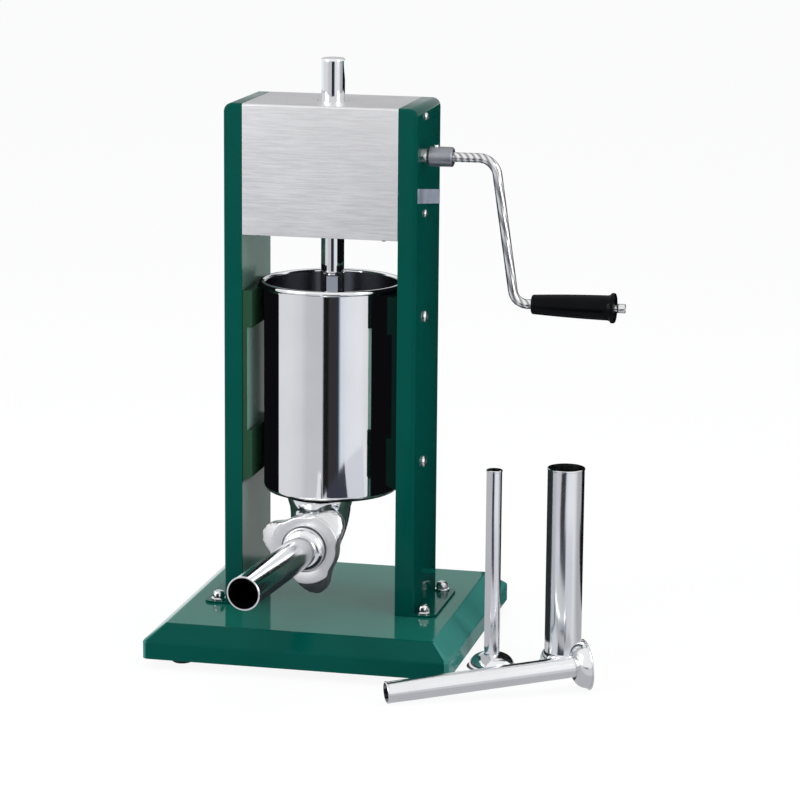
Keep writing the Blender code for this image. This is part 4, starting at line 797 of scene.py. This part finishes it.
def add_tube(name, tube, body, node, place, turn=None):
    piece = add_piece(
        name, turned(tube_profile(tube), TUBE_SIDES), TUBE, body, [node], place, turn
    )
    # The tube's inside faces get the darker steel of painted shade
    piece.data.materials.append(SHADED_INNER_STEEL)
    inner = tube[0] / 2 - TUBE_WALL / 2
    for face in piece.data.polygons:
        middle = Vector(face.center)
        flat = math.hypot(middle.x, middle.y)
        inward = middle.x * face.normal.x + middle.y * face.normal.y < 0
        if inward and flat < max(inner, DOME_RADIUS):
            face.material_index = 1


def build_tubes():
    facing = outlet_turn(FORWARDS)
    spot = outlet_turn() @ Vector((0, -TUBE_REACH, OUTLET_Z))
    add_tube("mounted_tube", MOUNTED_TUBE, "tube", "stuffing_tube", spot, facing)
    add_tube("thin_tube", THIN_TUBE, "thin_tube", "spare_tube_thin", (*THIN_TUBE_PLACE, 0))
    add_tube("wide_tube", WIDE_TUBE, "wide_tube", "spare_tube_wide", (*WIDE_TUBE_PLACE, 0))
    radius = LYING_TUBE[0] / 2
    tilt = math.atan((TUBE_FLANGE_RADIUS - radius) / (LYING_TUBE[1] - TUBE_FLANGE_HEIGHT))
    height = TUBE_FLANGE_RADIUS * cos(tilt) + TUBE_FLANGE_HEIGHT * sin(tilt)
    turn = Matrix.Rotation(LYING_TUBE_HEADING, 4, "Z") @ Matrix.Rotation(QUARTER + tilt, 4, "Y")
    place = (*LYING_TUBE_PLACE, height)
    add_tube("lying_tube", LYING_TUBE, "medium_tube", "spare_tube_medium", place, turn)


def column_outline(side, inset, low):
    outer = OUTER_X - inset
    top = GEARBOX_TOP_Z - inset
    bend = COLUMN_TOP_RADIUS - inset
    roll = arc((outer - bend, top - bend), bend, 0, QUARTER, CORNER_STEPS)
    points = [(INNER_X, low), (outer, low)] + roll + [(INNER_X, top)]
    return [(side * x, z) for x, z in points]


def build_column(side, word):
    half = COLUMN_DEPTH / 2
    shape = prism(column_outline(side, 0, COLUMN_BOTTOM_Z), -half, half, "Y")
    folds = [
        edge for edge in shape.edges
        if abs(edge.verts[0].co.y - edge.verts[1].co.y) < WELD_DISTANCE
        and max(abs(v.co.x) for v in edge.verts) > INNER_X + WELD_DISTANCE
        and max(v.co.z for v in edge.verts) > COLUMN_BOTTOM_Z + WELD_DISTANCE
    ]
    width = COLUMN_EDGE_RADIUS
    bmesh.ops.bevel(
        shape, geom=folds, offset=width, segments=COLUMN_SEGMENTS, affect="EDGES", profile=0.5
    )
    body = add_piece(f"folded_column_{word}", shape, GREEN, "frame", [f"column_{word}"])
    depth = half - COLUMN_SHEET
    hollow = column_outline(side, COLUMN_SHEET, COLUMN_BOTTOM_Z - OVERRUN)
    opened = [(x if abs(x) > INNER_X else x - side * OVERRUN, z) for x, z in hollow]
    cut(body, f"hollow_{word}", prism(opened, -depth, depth, "Y"))
    outer = OUTER_X + FOOT_FLANGE_WIDTH
    inner = OUTER_X - COLUMN_SHEET
    corner = FOOT_FLANGE_CORNER
    outline = [(inner, -half)]
    outline += arc((outer - corner, corner - half), corner, -QUARTER, 0, ROUND_STEPS)
    outline += arc((outer - corner, half - corner), corner, 0, QUARTER, ROUND_STEPS)
    outline.append((inner, half))
    outline = [(side * x, y) for x, y in outline]
    flange = prism(outline, COLUMN_BOTTOM_Z, COLUMN_BOTTOM_Z + COLUMN_SHEET)
    cut(body, f"flange_{word}", flange, "UNION")
    soften(body, COLUMN_EDGE)


def build_gearbox():
    half = COLUMN_DEPTH / 2
    low = GEARBOX_TOP_Z - GEARBOX_HEIGHT
    fold = GEARBOX_FOLD_RADIUS
    top_front = arc((-half + fold, GEARBOX_TOP_Z - fold), fold, math.pi, QUARTER, FOLD_STEPS)
    top_rear = arc((half - fold, GEARBOX_TOP_Z - fold), fold, QUARTER, 0, FOLD_STEPS)
    outline = [(-half, low)] + top_front + top_rear + [(half, low)]
    shape = prism(outline, -CHEEK_X, CHEEK_X, "X")
    cover = add_piece("folded_gearbox_cover", shape, SATIN, "frame", ["gearbox_cover"])
    sheet = GEARBOX_SHEET
    inside = [
        (sheet - half, low - OVERRUN), (half - sheet, low - OVERRUN),
        (half - sheet, GEARBOX_TOP_Z - sheet), (sheet - half, GEARBOX_TOP_Z - sheet),
    ]
    cut(cover, "gearbox_inside", prism(inside, sheet - CHEEK_X, CHEEK_X - sheet, "X"))
    opening = circle(ROD_RADIUS + ROD_HOLE_CLEARANCE, TUBE_SIDES)
    cut(cover, "gearbox_rod_hole", prism(opening, GEARBOX_TOP_Z - OVERRUN, GEARBOX_TOP_Z + OVERRUN))
    soften(cover, COVER_EDGE)


def rounded_rectangle(half_width, half_depth, corner):
    points = []
    signs = ((1, 1), (-1, 1), (-1, -1), (1, -1))
    for quarter, (sign_x, sign_y) in enumerate(signs):
        centre = (sign_x * (half_width - corner), sign_y * (half_depth - corner))
        start = quarter * QUARTER
        points += arc(centre, corner, start, start + QUARTER, FOLD_STEPS)
    return points


def build_pan():
    half_width = BASE_WIDTH / 2
    half_depth = BASE_DEPTH / 2
    slope = math.atan2(BASE_TOP_Z - SKIRT_TOP_Z, BEVEL_WIDTH)
    run = BASE_FOLD * math.tan(slope / 2) * 2
    side, drop = run * cos(slope), run * sin(slope)
    outer = [
        (BEVEL_WIDTH + run * 2, BASE_TOP_Z, TOP_CORNER),
        (BEVEL_WIDTH + run, BASE_TOP_Z, TOP_CORNER),
        (BEVEL_WIDTH - side, BASE_TOP_Z - drop, TOP_CORNER),
        (BEVEL_WIDTH - side * 2, BASE_TOP_Z - drop * 2, TOP_CORNER),
        (side * 2, SKIRT_TOP_Z + drop * 2, SKIRT_CORNER),
        (side, SKIRT_TOP_Z + drop, SKIRT_CORNER),
        (0, SKIRT_TOP_Z - run, SKIRT_CORNER),
        (0, SKIRT_TOP_Z - run * 2, SKIRT_CORNER),
        (0, SKIRT_BOTTOM_Z, SKIRT_CORNER),
    ]
    shift = BASE_SHEET * (BASE_TOP_Z - SKIRT_TOP_Z) / BEVEL_WIDTH / 2
    inner = [
        (BEVEL_WIDTH + shift, BASE_TOP_Z - BASE_SHEET, TOP_CORNER),
        (BASE_SHEET, SKIRT_TOP_Z - shift, SKIRT_CORNER - BASE_SHEET),
        (BASE_SHEET, SKIRT_BOTTOM_Z, SKIRT_CORNER - BASE_SHEET),
    ]
    rings = [
        ring_at(rounded_rectangle(half_width - inset, half_depth - inset, corner), height)
        for inset, height, corner in inner + outer[::-1]
    ]
    pan = add_piece("folded_base", lofted(rings), GREEN, "frame", ["base_pan"])
    pan.data.materials.append(LIT_TOP_GREEN)
    pan.data.materials.append(LIT_SIDE_GREEN)
    for face in pan.data.polygons:
        # Faces that point up get the lighter green of painted light
        if face.normal.z > TOP_FACE_SHARE:
            face.material_index = 1
        # Faces that point left or right get the lighter green of painted light and reflection
        elif abs(face.normal.x) > SIDE_FACE_SHARE:
            face.material_index = 2


def rack_gaps():
    """The outline of what is milled from the rod's rear, in Y and Z."""
    pitch = math.pi * GEAR_MODULE
    tip = RACK_PITCH_Y + RACK_TIP
    root = RACK_PITCH_Y - RACK_ROOT
    slope = math.tan(PRESSURE_ANGLE)
    at_pitch = pitch / 4 + RACK_BACKLASH / 2
    at_tip = at_pitch + RACK_TIP * slope
    at_root = at_pitch - RACK_ROOT * slope
    outside = ROD_RADIUS + OVERRUN
    outline = [(outside, GEAR_Z - pitch * (RACK_BELOW + 1)), (tip, GEAR_Z - pitch * (RACK_BELOW + 1))]
    for gap in range(-RACK_BELOW, RACK_ABOVE + 1):
        middle = GEAR_Z + gap * pitch
        outline += [(tip, middle - at_tip), (root, middle - at_root)]
        outline += [(root, middle + at_root), (tip, middle + at_tip)]
    outline += [(tip, GEAR_Z + pitch * (RACK_ABOVE + 1)), (outside, GEAR_Z + pitch * (RACK_ABOVE + 1))]
    return outline


def build_rod():
    middle = (ROD_RADIUS - ROD_TOP_ROUND, ROD_TOP_Z - ROD_TOP_ROUND)
    crown = arc(middle, ROD_TOP_ROUND, 0, QUARTER, FOLD_STEPS)
    profile = [(0, ROD_SPIGOT_Z), (SPIGOT_RADIUS, ROD_SPIGOT_Z), (SPIGOT_RADIUS, ROD_BOTTOM_Z)]
    collar = (ROD_RADIUS, ROD_TOP_Z - ROD_TOP_ROUND - ROD_COLLAR_DROP)
    profile += [(ROD_RADIUS, ROD_BOTTOM_Z), collar] + crown + [(0, ROD_TOP_Z)]
    shape = turned(profile, TUBE_SIDES)
    rod = add_piece("rack_bar", shape, MIRROR, "rod", ["rack_rod"])
    outside = ROD_RADIUS + OVERRUN
    cut(rod, "rack_gaps", prism(rack_gaps(), -outside, outside, "X"))


def filleted(corners, bends, steps):
    path = [Vector(corners[0])]
    for before, corner, after, bend in zip(corners, corners[1:], corners[2:], bends):
        corner = Vector(corner)
        arrive = (corner - Vector(before)).normalized()
        leave = (Vector(after) - corner).normalized()
        turn = arrive.angle(leave)
        start = corner - arrive * bend * math.tan(turn / 2)
        side = (leave - arrive * arrive.dot(leave)).normalized()
        for i in range(steps + 1):
            angle = turn * i / steps
            path.append(start + bend * (arrive * sin(angle) + side * (1 - cos(angle))))
    path.append(Vector(corners[-1]))
    return path


def subdivided(path, step):
    """The path with its long stretches cut into short ones."""
    points = [path[0]]
    for start, end in zip(path, path[1:]):
        parts = max(1, round((end - start).length / step))
        points += [start.lerp(end, i / parts) for i in range(1, parts + 1)]
    return points


def build_arm():
    hub_end = HUB_START_X + HUB_LENGTH
    corners = [
        (hub_end - HUB_SOCKET, 0), (ARM_ELBOW_X, 0), (ARM_WRIST_X, -CRANK_DROP),
        (GRIP_START_X - SEAT_GAP, -CRANK_DROP),
    ]
    path = subdivided(filleted(corners, (ARM_ELBOW_BEND, ARM_WRIST_BEND), ARM_BEND_STEPS), ARM_STEP)
    unit = circle(1, BAR_SIDES)
    rings = []
    for i, point in enumerate(path):
        ahead = path[min(i + 1, len(path) - 1)] - path[max(i - 1, 0)]
        ahead.normalize()
        across = Vector((-ahead.y, ahead.x))
        rings.append([
            (point.x + ARM_RADIUS * c * across.x, ARM_RADIUS * s, point.y + ARM_RADIUS * c * across.y)
            for c, s in unit
        ])
    for x in (GRIP_START_X - SEAT_GAP, SPINDLE_END_X):
        rings.append([(x, SPINDLE_RADIUS * s, SPINDLE_RADIUS * c - CRANK_DROP) for c, s in unit])
    place = (0, CRANK_Y, GEAR_Z)
    add_piece("bent_arm", lofted(rings), ARM, "crank", ["crank_arm"], place)


def low_round(radius, bend):
    """The rounded low edge of a turned piece that starts at height zero."""
    return arc((radius - bend, bend), bend, -QUARTER, 0, ROUND_STEPS)


def high_round(radius, bend, height):
    return arc((radius - bend, height - bend), bend, 0, QUARTER, ROUND_STEPS)


def build_hub():
    profile = [(HUB_BORE, 0)] + low_round(HUB_RADIUS, HUB_ROUND)
    profile += high_round(HUB_RADIUS, HUB_ROUND, HUB_LENGTH) + [(HUB_BORE, HUB_LENGTH)]
    shape = turned(profile, TUBE_SIDES)
    place = (HUB_START_X, CRANK_Y, GEAR_Z)
    add_piece("hub", shape, HUB, "crank", ["crank_hub"], place, SIDEWAYS)


def build_grip():
    flange_low = GRIP_LENGTH - GRIP_FLANGE_WIDTH
    neck = flange_low - GRIP_FLANGE_WIDTH / 2
    profile = [(GRIP_BORE, 0)] + low_round(GRIP_RADIUS, GRIP_ROUND)
    for i in range(1, GRIP_STEPS + 1):
        share = i / GRIP_STEPS
        height = GRIP_ROUND + (neck - GRIP_ROUND) * share
        belly = sin(math.pi * share) * GRIP_ROUND / 4
        profile.append((GRIP_RADIUS + (GRIP_SWELL_RADIUS - GRIP_RADIUS) * share + belly, height))
    edge = GRIP_FLANGE_WIDTH / 3
    middle = (GRIP_FLANGE_RADIUS - edge, flange_low + edge)
    profile += arc(middle, edge, -QUARTER, 0, FLANGE_STEPS)
    profile += high_round(GRIP_FLANGE_RADIUS, GRIP_ROUND, GRIP_LENGTH) + [(GRIP_BORE, GRIP_LENGTH)]
    shape = turned(profile, TUBE_SIDES)
    place = (GRIP_START_X, CRANK_Y, GEAR_Z - CRANK_DROP)
    add_piece("turned_grip", shape, GRIP, "grip", ["crank_grip"], place, SIDEWAYS)


def build_fasteners():
    radius, height, shank, grip = FOOT_BOLT
    crown = radius * cos(math.pi / 6)
    washer = radius + WASHER_HEIGHT
    spring = WASHER_HEIGHT + height - crown / 2
    dome = [
        round_ring(crown * cos(t), spring + crown / 2 * sin(t))
        for t in [QUARTER * i / DOME_RINGS for i in range(DOME_RINGS - 1, -1, -1)]
    ]
    low = WASHER_HEIGHT + height / 2
    rings = dome + [
        round_ring(crown, low + WASHER_HEIGHT / 3),
        hexagon_ring(radius, low - WASHER_HEIGHT / 3),
        hexagon_ring(radius, WASHER_HEIGHT),
        round_ring(washer - WASHER_HEIGHT / 4, WASHER_HEIGHT),
        round_ring(washer, WASHER_HEIGHT * 3 / 4),
        round_ring(washer, 0),
        round_ring(shank, 0),
        round_ring(shank, -grip),
        hexagon_ring(radius, -grip),
        hexagon_ring(radius, -grip - FOOT_NUT_HEIGHT),
    ]
    for number in range(1, 5):
        node = f"foot_bolt_{number}"
        low_corner, high_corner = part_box(node)
        spot = (low_corner + high_corner) / 2 - MACHINE
        spot.z = high_corner.z - WASHER_HEIGHT - height
        name = f"domed_foot_nut_{number}"
        add_piece(name, lofted(rings), BOLT, "frame", [node], spot)
    for number in range(1, 5):
        side = -1 if number < 3 else 1
        for kind, size in SIDE_SCREWS.items():
            add_side_screw(kind, number, side, size)


def add_side_screw(kind, number, side, size):
    """A domed screw with a hexagon socket, on the column's outer face."""
    node = f"{kind}_{number}"
    name = f"{kind}_head_{number}"
    head, height, shank, grip = size
    socket = head * RECESS_SHARE
    floor = height * RECESS_SHARE
    dome = []
    for i in range(DOME_RINGS):
        t = QUARTER * i / (DOME_RINGS + 1)
        rise = height / 4 + height * 3 / 4 * sin(t)
        dome.append(round_ring(head * cos(t), rise))
    rings = [round_ring(shank, -grip), round_ring(shank, 0), round_ring(head, 0)]
    dome = [ring for ring in dome if math.hypot(ring[0][0], ring[0][1]) > socket * RECESS_LAND_SHARE]
    top = dome[-1][0][2] + height / 16
    rings += dome + [
        round_ring(socket * RECESS_RIM_SHARE, top),
        hexagon_ring(socket, top - height / 16),
        hexagon_ring(socket, floor),
    ]
    low_corner, high_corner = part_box(node)
    spot = (low_corner + high_corner) / 2 - MACHINE
    spot.x = side * (OUTER_X + SEAT_GAP)
    turn = Matrix.Rotation(side * QUARTER, 4, "Y")
    add_piece(name, lofted(rings), BOLT, "frame", [node], spot, turn)


def soften(piece, width, harden=True):
    """Small rounded edges, by modifiers. A width of zero welds the points alone."""
    weld = piece.modifiers.new("weld", "WELD")
    weld.merge_threshold = MERGE_DISTANCE
    if not width:
        return
    bevel = piece.modifiers.new("edges", "BEVEL")
    bevel.width = width
    bevel.segments = EDGE_SEGMENTS
    bevel.limit_method = "ANGLE"
    bevel.angle_limit = BEVEL_ANGLE
    bevel.harden_normals = harden


def dress_node(node, look, width=0.0, angle=SHARP_ANGLE):
    """A CAD node that stays: its material, smooth facets and, if a width is given, softer edges."""
    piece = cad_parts[node]
    piece.data.materials.clear()
    piece.data.materials.append(look)
    piece.data.polygons.foreach_set("use_smooth", [True] * len(piece.data.polygons))
    soften(piece, width, False)
    split = piece.modifiers.new("sharp", "EDGE_SPLIT")
    split.split_angle = angle


def paint_strip_sheen(bracket):
    """The strip between a bracket's ears is painted a lighter green, a painted reflection of the white
    room, as its plate is.
    """
    bracket.data.materials.append(SHEEN_STRIP_GREEN)
    for face in bracket.data.polygons:
        flat = abs(face.normal.x) > FLAT_FACE_SHARE
        reach = abs(face.center.x - MACHINE.x)
        if flat and STRIP_REACH - SEAT_GAP < reach < STRIP_REACH + SEAT_GAP:
            face.material_index = 1


def dress_nodes():
    # The brackets get painted shade, the right one darker still as painted shadow
    for word, green in (("left", BRACKET_SHADE_GREEN), ("right", BRACKET_SHADOW_GREEN)):
        # The side plates get the lighter green of painted reflection and painted light
        dress_node(f"side_plate_{word}", SHEEN_PLATE_GREEN, 0.0, PLATE_SHARP_ANGLE)
        dress_node(f"cylinder_bracket_{word}", green)
        paint_strip_sheen(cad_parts[f"cylinder_bracket_{word}"])
        dress_node(f"input_bush_{word}", BOLT)
        dress_node(f"pinion_bush_{word}", BRONZE)
    for number in range(1, 5):
        dress_node(f"rubber_foot_{number}", RUBBER, FOOT_EDGE)
        dress_node(f"floor_screw_{number}", BOLT)
    shafts = ("input_shaft", "pinion_shaft", "shaft_ring_1", "shaft_ring_2")
    for node in shafts + ("input_gear", "driven_gear", "rack_pinion"):
        dress_node(node, GEAR)
    dress_node("gearbox_floor", SATIN, TRAY_EDGE)
    dress_node("rod_guide_top", BOLT)
    dress_node("rod_guide_bottom", BRONZE)
    dress_node("outlet_gasket", SILICONE)
    dress_node("piston", SATIN, 0.0, PISTON_SHARP_ANGLE)
    dress_node("piston_nut", BOLT, SCREW_EDGE)
    dress_node("piston_seal", SILICONE)
    dress_node("air_valve", BOLT)
    dress_node("crank_set_screw", BOLT, SCREW_EDGE)
    dress_node("grip_end_cap", BOLT, CAP_EDGE)


def build_blank_label():
    """A thin bare label across the right column's outer face. It slopes down to the rear."""
    half = COLUMN_DEPTH / 2 - COLUMN_EDGE_RADIUS
    rear = LABEL_LOW_Z - LABEL_DROP
    outline = [(-half, LABEL_LOW_Z), (half, rear)]
    outline += [(half, rear + LABEL_HEIGHT), (-half, LABEL_LOW_Z + LABEL_HEIGHT)]
    shape = prism(outline, OUTER_X, OUTER_X + LABEL_SHEET, "X")
    piece = add_piece("blank_label", shape, LABEL, "frame", [])
    soften(piece, LABEL_SHEET / 4)


def add_area_light(name, place, width, height, watts, mirrored):
    light = bpy.data.lights.new(name, "AREA")
    light.shape = "RECTANGLE"
    light.size = width
    light.size_y = height
    light.energy = watts
    lamp = add_object(name, light)
    spot = MACHINE + Vector(place)
    look = (MACHINE + Vector(LAMP_AIM) - spot).to_track_quat("-Z", "Y")
    lamp.matrix_world = Matrix.Translation(spot) @ look.to_matrix().to_4x4()
    lamp.visible_glossy = mirrored


def add_card(name, faces, look):
    """A card that only reflections see, as photographers use to draw bands on polished metal."""
    shape = bmesh.new()
    for corners in faces:
        shape.faces.new([shape.verts.new(corner) for corner in corners])
    card = add_mesh(name, shape)
    card.data.materials.append(look)
    card.location = MACHINE
    card.visible_camera = False
    card.visible_diffuse = False
    card.visible_shadow = False


def glow(name):
    """A material that only glows, and the socket for its colour."""
    look, nodes = new_material(name)
    nodes.remove(nodes["Principled BSDF"])
    light = nodes.new("ShaderNodeEmission")
    link(light.outputs["Emission"], nodes["Material Output"].inputs["Surface"])
    return look, nodes, light.inputs["Color"]


def mixed(nodes, share, first, second):
    node = nodes.new("ShaderNodeMixShader")
    for source, socket in zip((share, first, second), node.inputs):
        link(source, socket)
    return node.outputs["Shader"]


def plain_card(name, shade, one_sided):
    look, nodes, colour = glow(name)
    colour.default_value = (*shade, 1)
    if one_sided:
        side = nodes.new("ShaderNodeNewGeometry").outputs["Backfacing"]
        clear = nodes.new("ShaderNodeBsdfTransparent").outputs["BSDF"]
        shown = mixed(nodes, side, nodes["Emission"].outputs["Emission"], clear)
        link(shown, nodes["Material Output"].inputs["Surface"])
    return look


def sector_look():
    """Light and dark sectors about the machine, as azimuth in degrees from the front and a colour."""
    look, nodes, colour = glow("floor_card")
    place = nodes.new("ShaderNodeTexCoord")
    turn = nodes.new("ShaderNodeTexGradient")
    turn.gradient_type = "RADIAL"
    link(place.outputs["Object"], turn.inputs["Vector"])
    sectors = nodes.new("ShaderNodeValToRGB")
    marks = sectors.color_ramp.elements
    for number, (azimuth, shade) in enumerate(FLOOR_SECTORS):
        position = azimuth / 360 + 1 / 4
        mark = marks[number] if number < 2 else marks.new(position)
        mark.position = position
        mark.color = (*shade, 1)
    link(turn.outputs["Fac"], sectors.inputs["Fac"])
    link(sectors.outputs["Color"], colour)
    return look


def add_wall(name, plan, low, high, look):
    """An upright card through points in plan, flat or bent round."""
    pairs = zip(plan, plan[1:])
    add_card(name, [[(*p, low), (*q, low), (*q, high), (*p, high)] for p, q in pairs], look)


def add_mat(name, outline, height, look):
    add_card(name, [[(x, y, height) for x, y in outline]], look)


def add_wedge(name, azimuths, height, look):
    """A sector of floor about the wide tube, between two azimuths in degrees."""
    first, last = [math.radians(azimuth - 90) for azimuth in azimuths]
    near, far = WEDGE_REACHES
    outline = arc(WIDE_TUBE_PLACE, far, first, last, WEDGE_STEPS)
    add_mat(name, outline + arc(WIDE_TUBE_PLACE, near, last, first, WEDGE_STEPS), height, look)


def curved_plan(radius, azimuths):
    """Points in plan about the cylinder's axis, between two azimuths in degrees."""
    start, end = azimuths
    return arc((0, 0), radius, math.radians(start - 90), math.radians(end - 90), FLAG_STEPS)


def build_cards():
    add_mat("floor_card", circle(CARD_RADIUS, CARD_SIDES), CARD_HEIGHT, sector_look())
    looks = {
        word: plain_card(f"{word}_card", shade, word in ONE_SIDED_CARDS)
        for word, shade in CARD_SHADES.items()
    }
    for name, (azimuths, height, word) in WEDGES.items():
        add_wedge(name, azimuths, height, looks[word])
    for name, (outline, height, word) in MATS.items():
        add_mat(name, outline, height, looks[word])
    for name, (plan, heights, word) in WALLS.items():
        add_wall(name, plan, *heights, looks[word])
    build_flags(looks)


def build_flags(looks):
    """Dark flags beside the cylinder and its rim, and a card inside the bore."""
    low = CYLINDER_BOTTOM_Z + CYLINDER_CORNER / 2
    for word, azimuths in FLAG_AZIMUTHS.items():
        plan = curved_plan(FLAG_RADIUS, azimuths)
        add_wall(f"{word}_flag", plan, low, FLAG_TOP_Z, looks["dark"])
        rim = [(x * RIM_FLAG_SHARE, y * RIM_FLAG_SHARE) for x, y in plan]
        add_wall(f"{word}_rim_flag", rim, FLAG_TOP_Z, RIM_FLAG_TOP_Z, looks["dark"])
    plan = curved_plan(BORE_CARD_RADIUS, BORE_CARD_AZIMUTHS)
    add_wall("bore_card", plan[::-1], BORE_CARD_LOW_Z, RIM_CENTRE_Z, looks["bore"])


def build_floor():
    shape = bmesh.new()
    corners = [(x * FLOOR_REACH, y * FLOOR_REACH, 0) for x, y in ((-1, -1), (1, -1), (1, 1), (-1, 1))]
    shape.faces.new([shape.verts.new(corner) for corner in corners])
    floor = add_mesh("floor", shape)
    floor.location = (0, 0, -FLOOR_DROP)
    look, nodes = new_material("pale_floor")
    surface = nodes["Principled BSDF"]
    surface.inputs["Base Color"].default_value = (*FLOOR_SHADE, 1)
    surface.inputs["Roughness"].default_value = FLOOR_ROUGHNESS
    surface.inputs["Specular IOR Level"].default_value = FLOOR_SPECULAR
    bright = nodes.new("ShaderNodeEmission")
    bright.inputs["Color"].default_value = (*WHITE, 1)
    share = nodes.new("ShaderNodeMath")
    share.operation = "MULTIPLY"
    share.inputs[1].default_value = FLOOR_GLOW_SHARE
    link(visible_share(nodes), share.inputs[0])
    shown = mixed(nodes, share.outputs["Value"], surface.outputs["BSDF"], bright.outputs["Emission"])
    link(shown, nodes["Material Output"].inputs["Surface"])
    floor.data.materials.append(look)


def visible_share(nodes):
    """One for rays from the camera, from reflections and through glass, else zero."""
    rays = nodes.new("ShaderNodeLightPath").outputs
    seen = rays["Is Camera Ray"]
    for kind in ("Is Glossy Ray", "Is Transmission Ray"):
        most = nodes.new("ShaderNodeMath")
        most.operation = "MAXIMUM"
        link(seen, most.inputs[0])
        link(rays[kind], most.inputs[1])
        seen = most.outputs["Value"]
    return seen


def build_world():
    world = bpy.data.worlds.new("studio")
    bpy.context.scene.world = world
    world.use_nodes = True
    nodes = world.node_tree.nodes
    plain = nodes["Background"]
    plain.inputs["Color"].default_value = (*ROOM_SHADE, 1)
    plain.inputs["Strength"].default_value = ROOM_STRENGTH
    white = nodes.new("ShaderNodeBackground")
    white.inputs["Color"].default_value = (*WHITE, 1)
    room, sky = plain.outputs["Background"], white.outputs["Background"]
    link(mixed(nodes, visible_share(nodes), room, sky), nodes["World Output"].inputs["Surface"])


def build_lights():
    for name, lamp in LAMPS.items():
        add_area_light(name, *lamp)


def build_camera():
    turn, rise, roll = CAMERA_AZIMUTH, CAMERA_ELEVATION, CAMERA_ROLL
    back = Vector((sin(turn) * cos(rise), -cos(turn) * cos(rise), sin(rise)))
    level = Vector((cos(turn), sin(turn), 0))
    raised = back.cross(level)
    right = level * cos(roll) + raised * sin(roll)
    up = raised * cos(roll) - level * sin(roll)
    lens = bpy.data.cameras.new("camera")
    lens.lens = CAMERA_LENS
    lens.sensor_width = SENSOR_WIDTH
    lens.clip_end = CLIP_END
    camera = add_object("camera", lens)
    spot = MACHINE + Vector(CAMERA_TARGET) + back * CAMERA_DISTANCE
    axes = Matrix((right, up, back)).transposed().to_4x4()
    camera.matrix_world = Matrix.Translation(spot) @ axes
    bpy.context.scene.camera = camera


def build():
    bpy.context.scene.view_settings.view_transform = "Standard"
    build_camera()
    build_cylinder()
    build_elbow()
    build_nut()
    build_tubes()
    build_column(-1, "left")
    build_column(1, "right")
    build_gearbox()
    build_pan()
    build_rod()
    build_arm()
    build_hub()
    build_grip()
    build_fasteners()
    dress_nodes()
    build_blank_label()
    build_floor()
    build_cards()
    build_world()
    build_lights()


build()
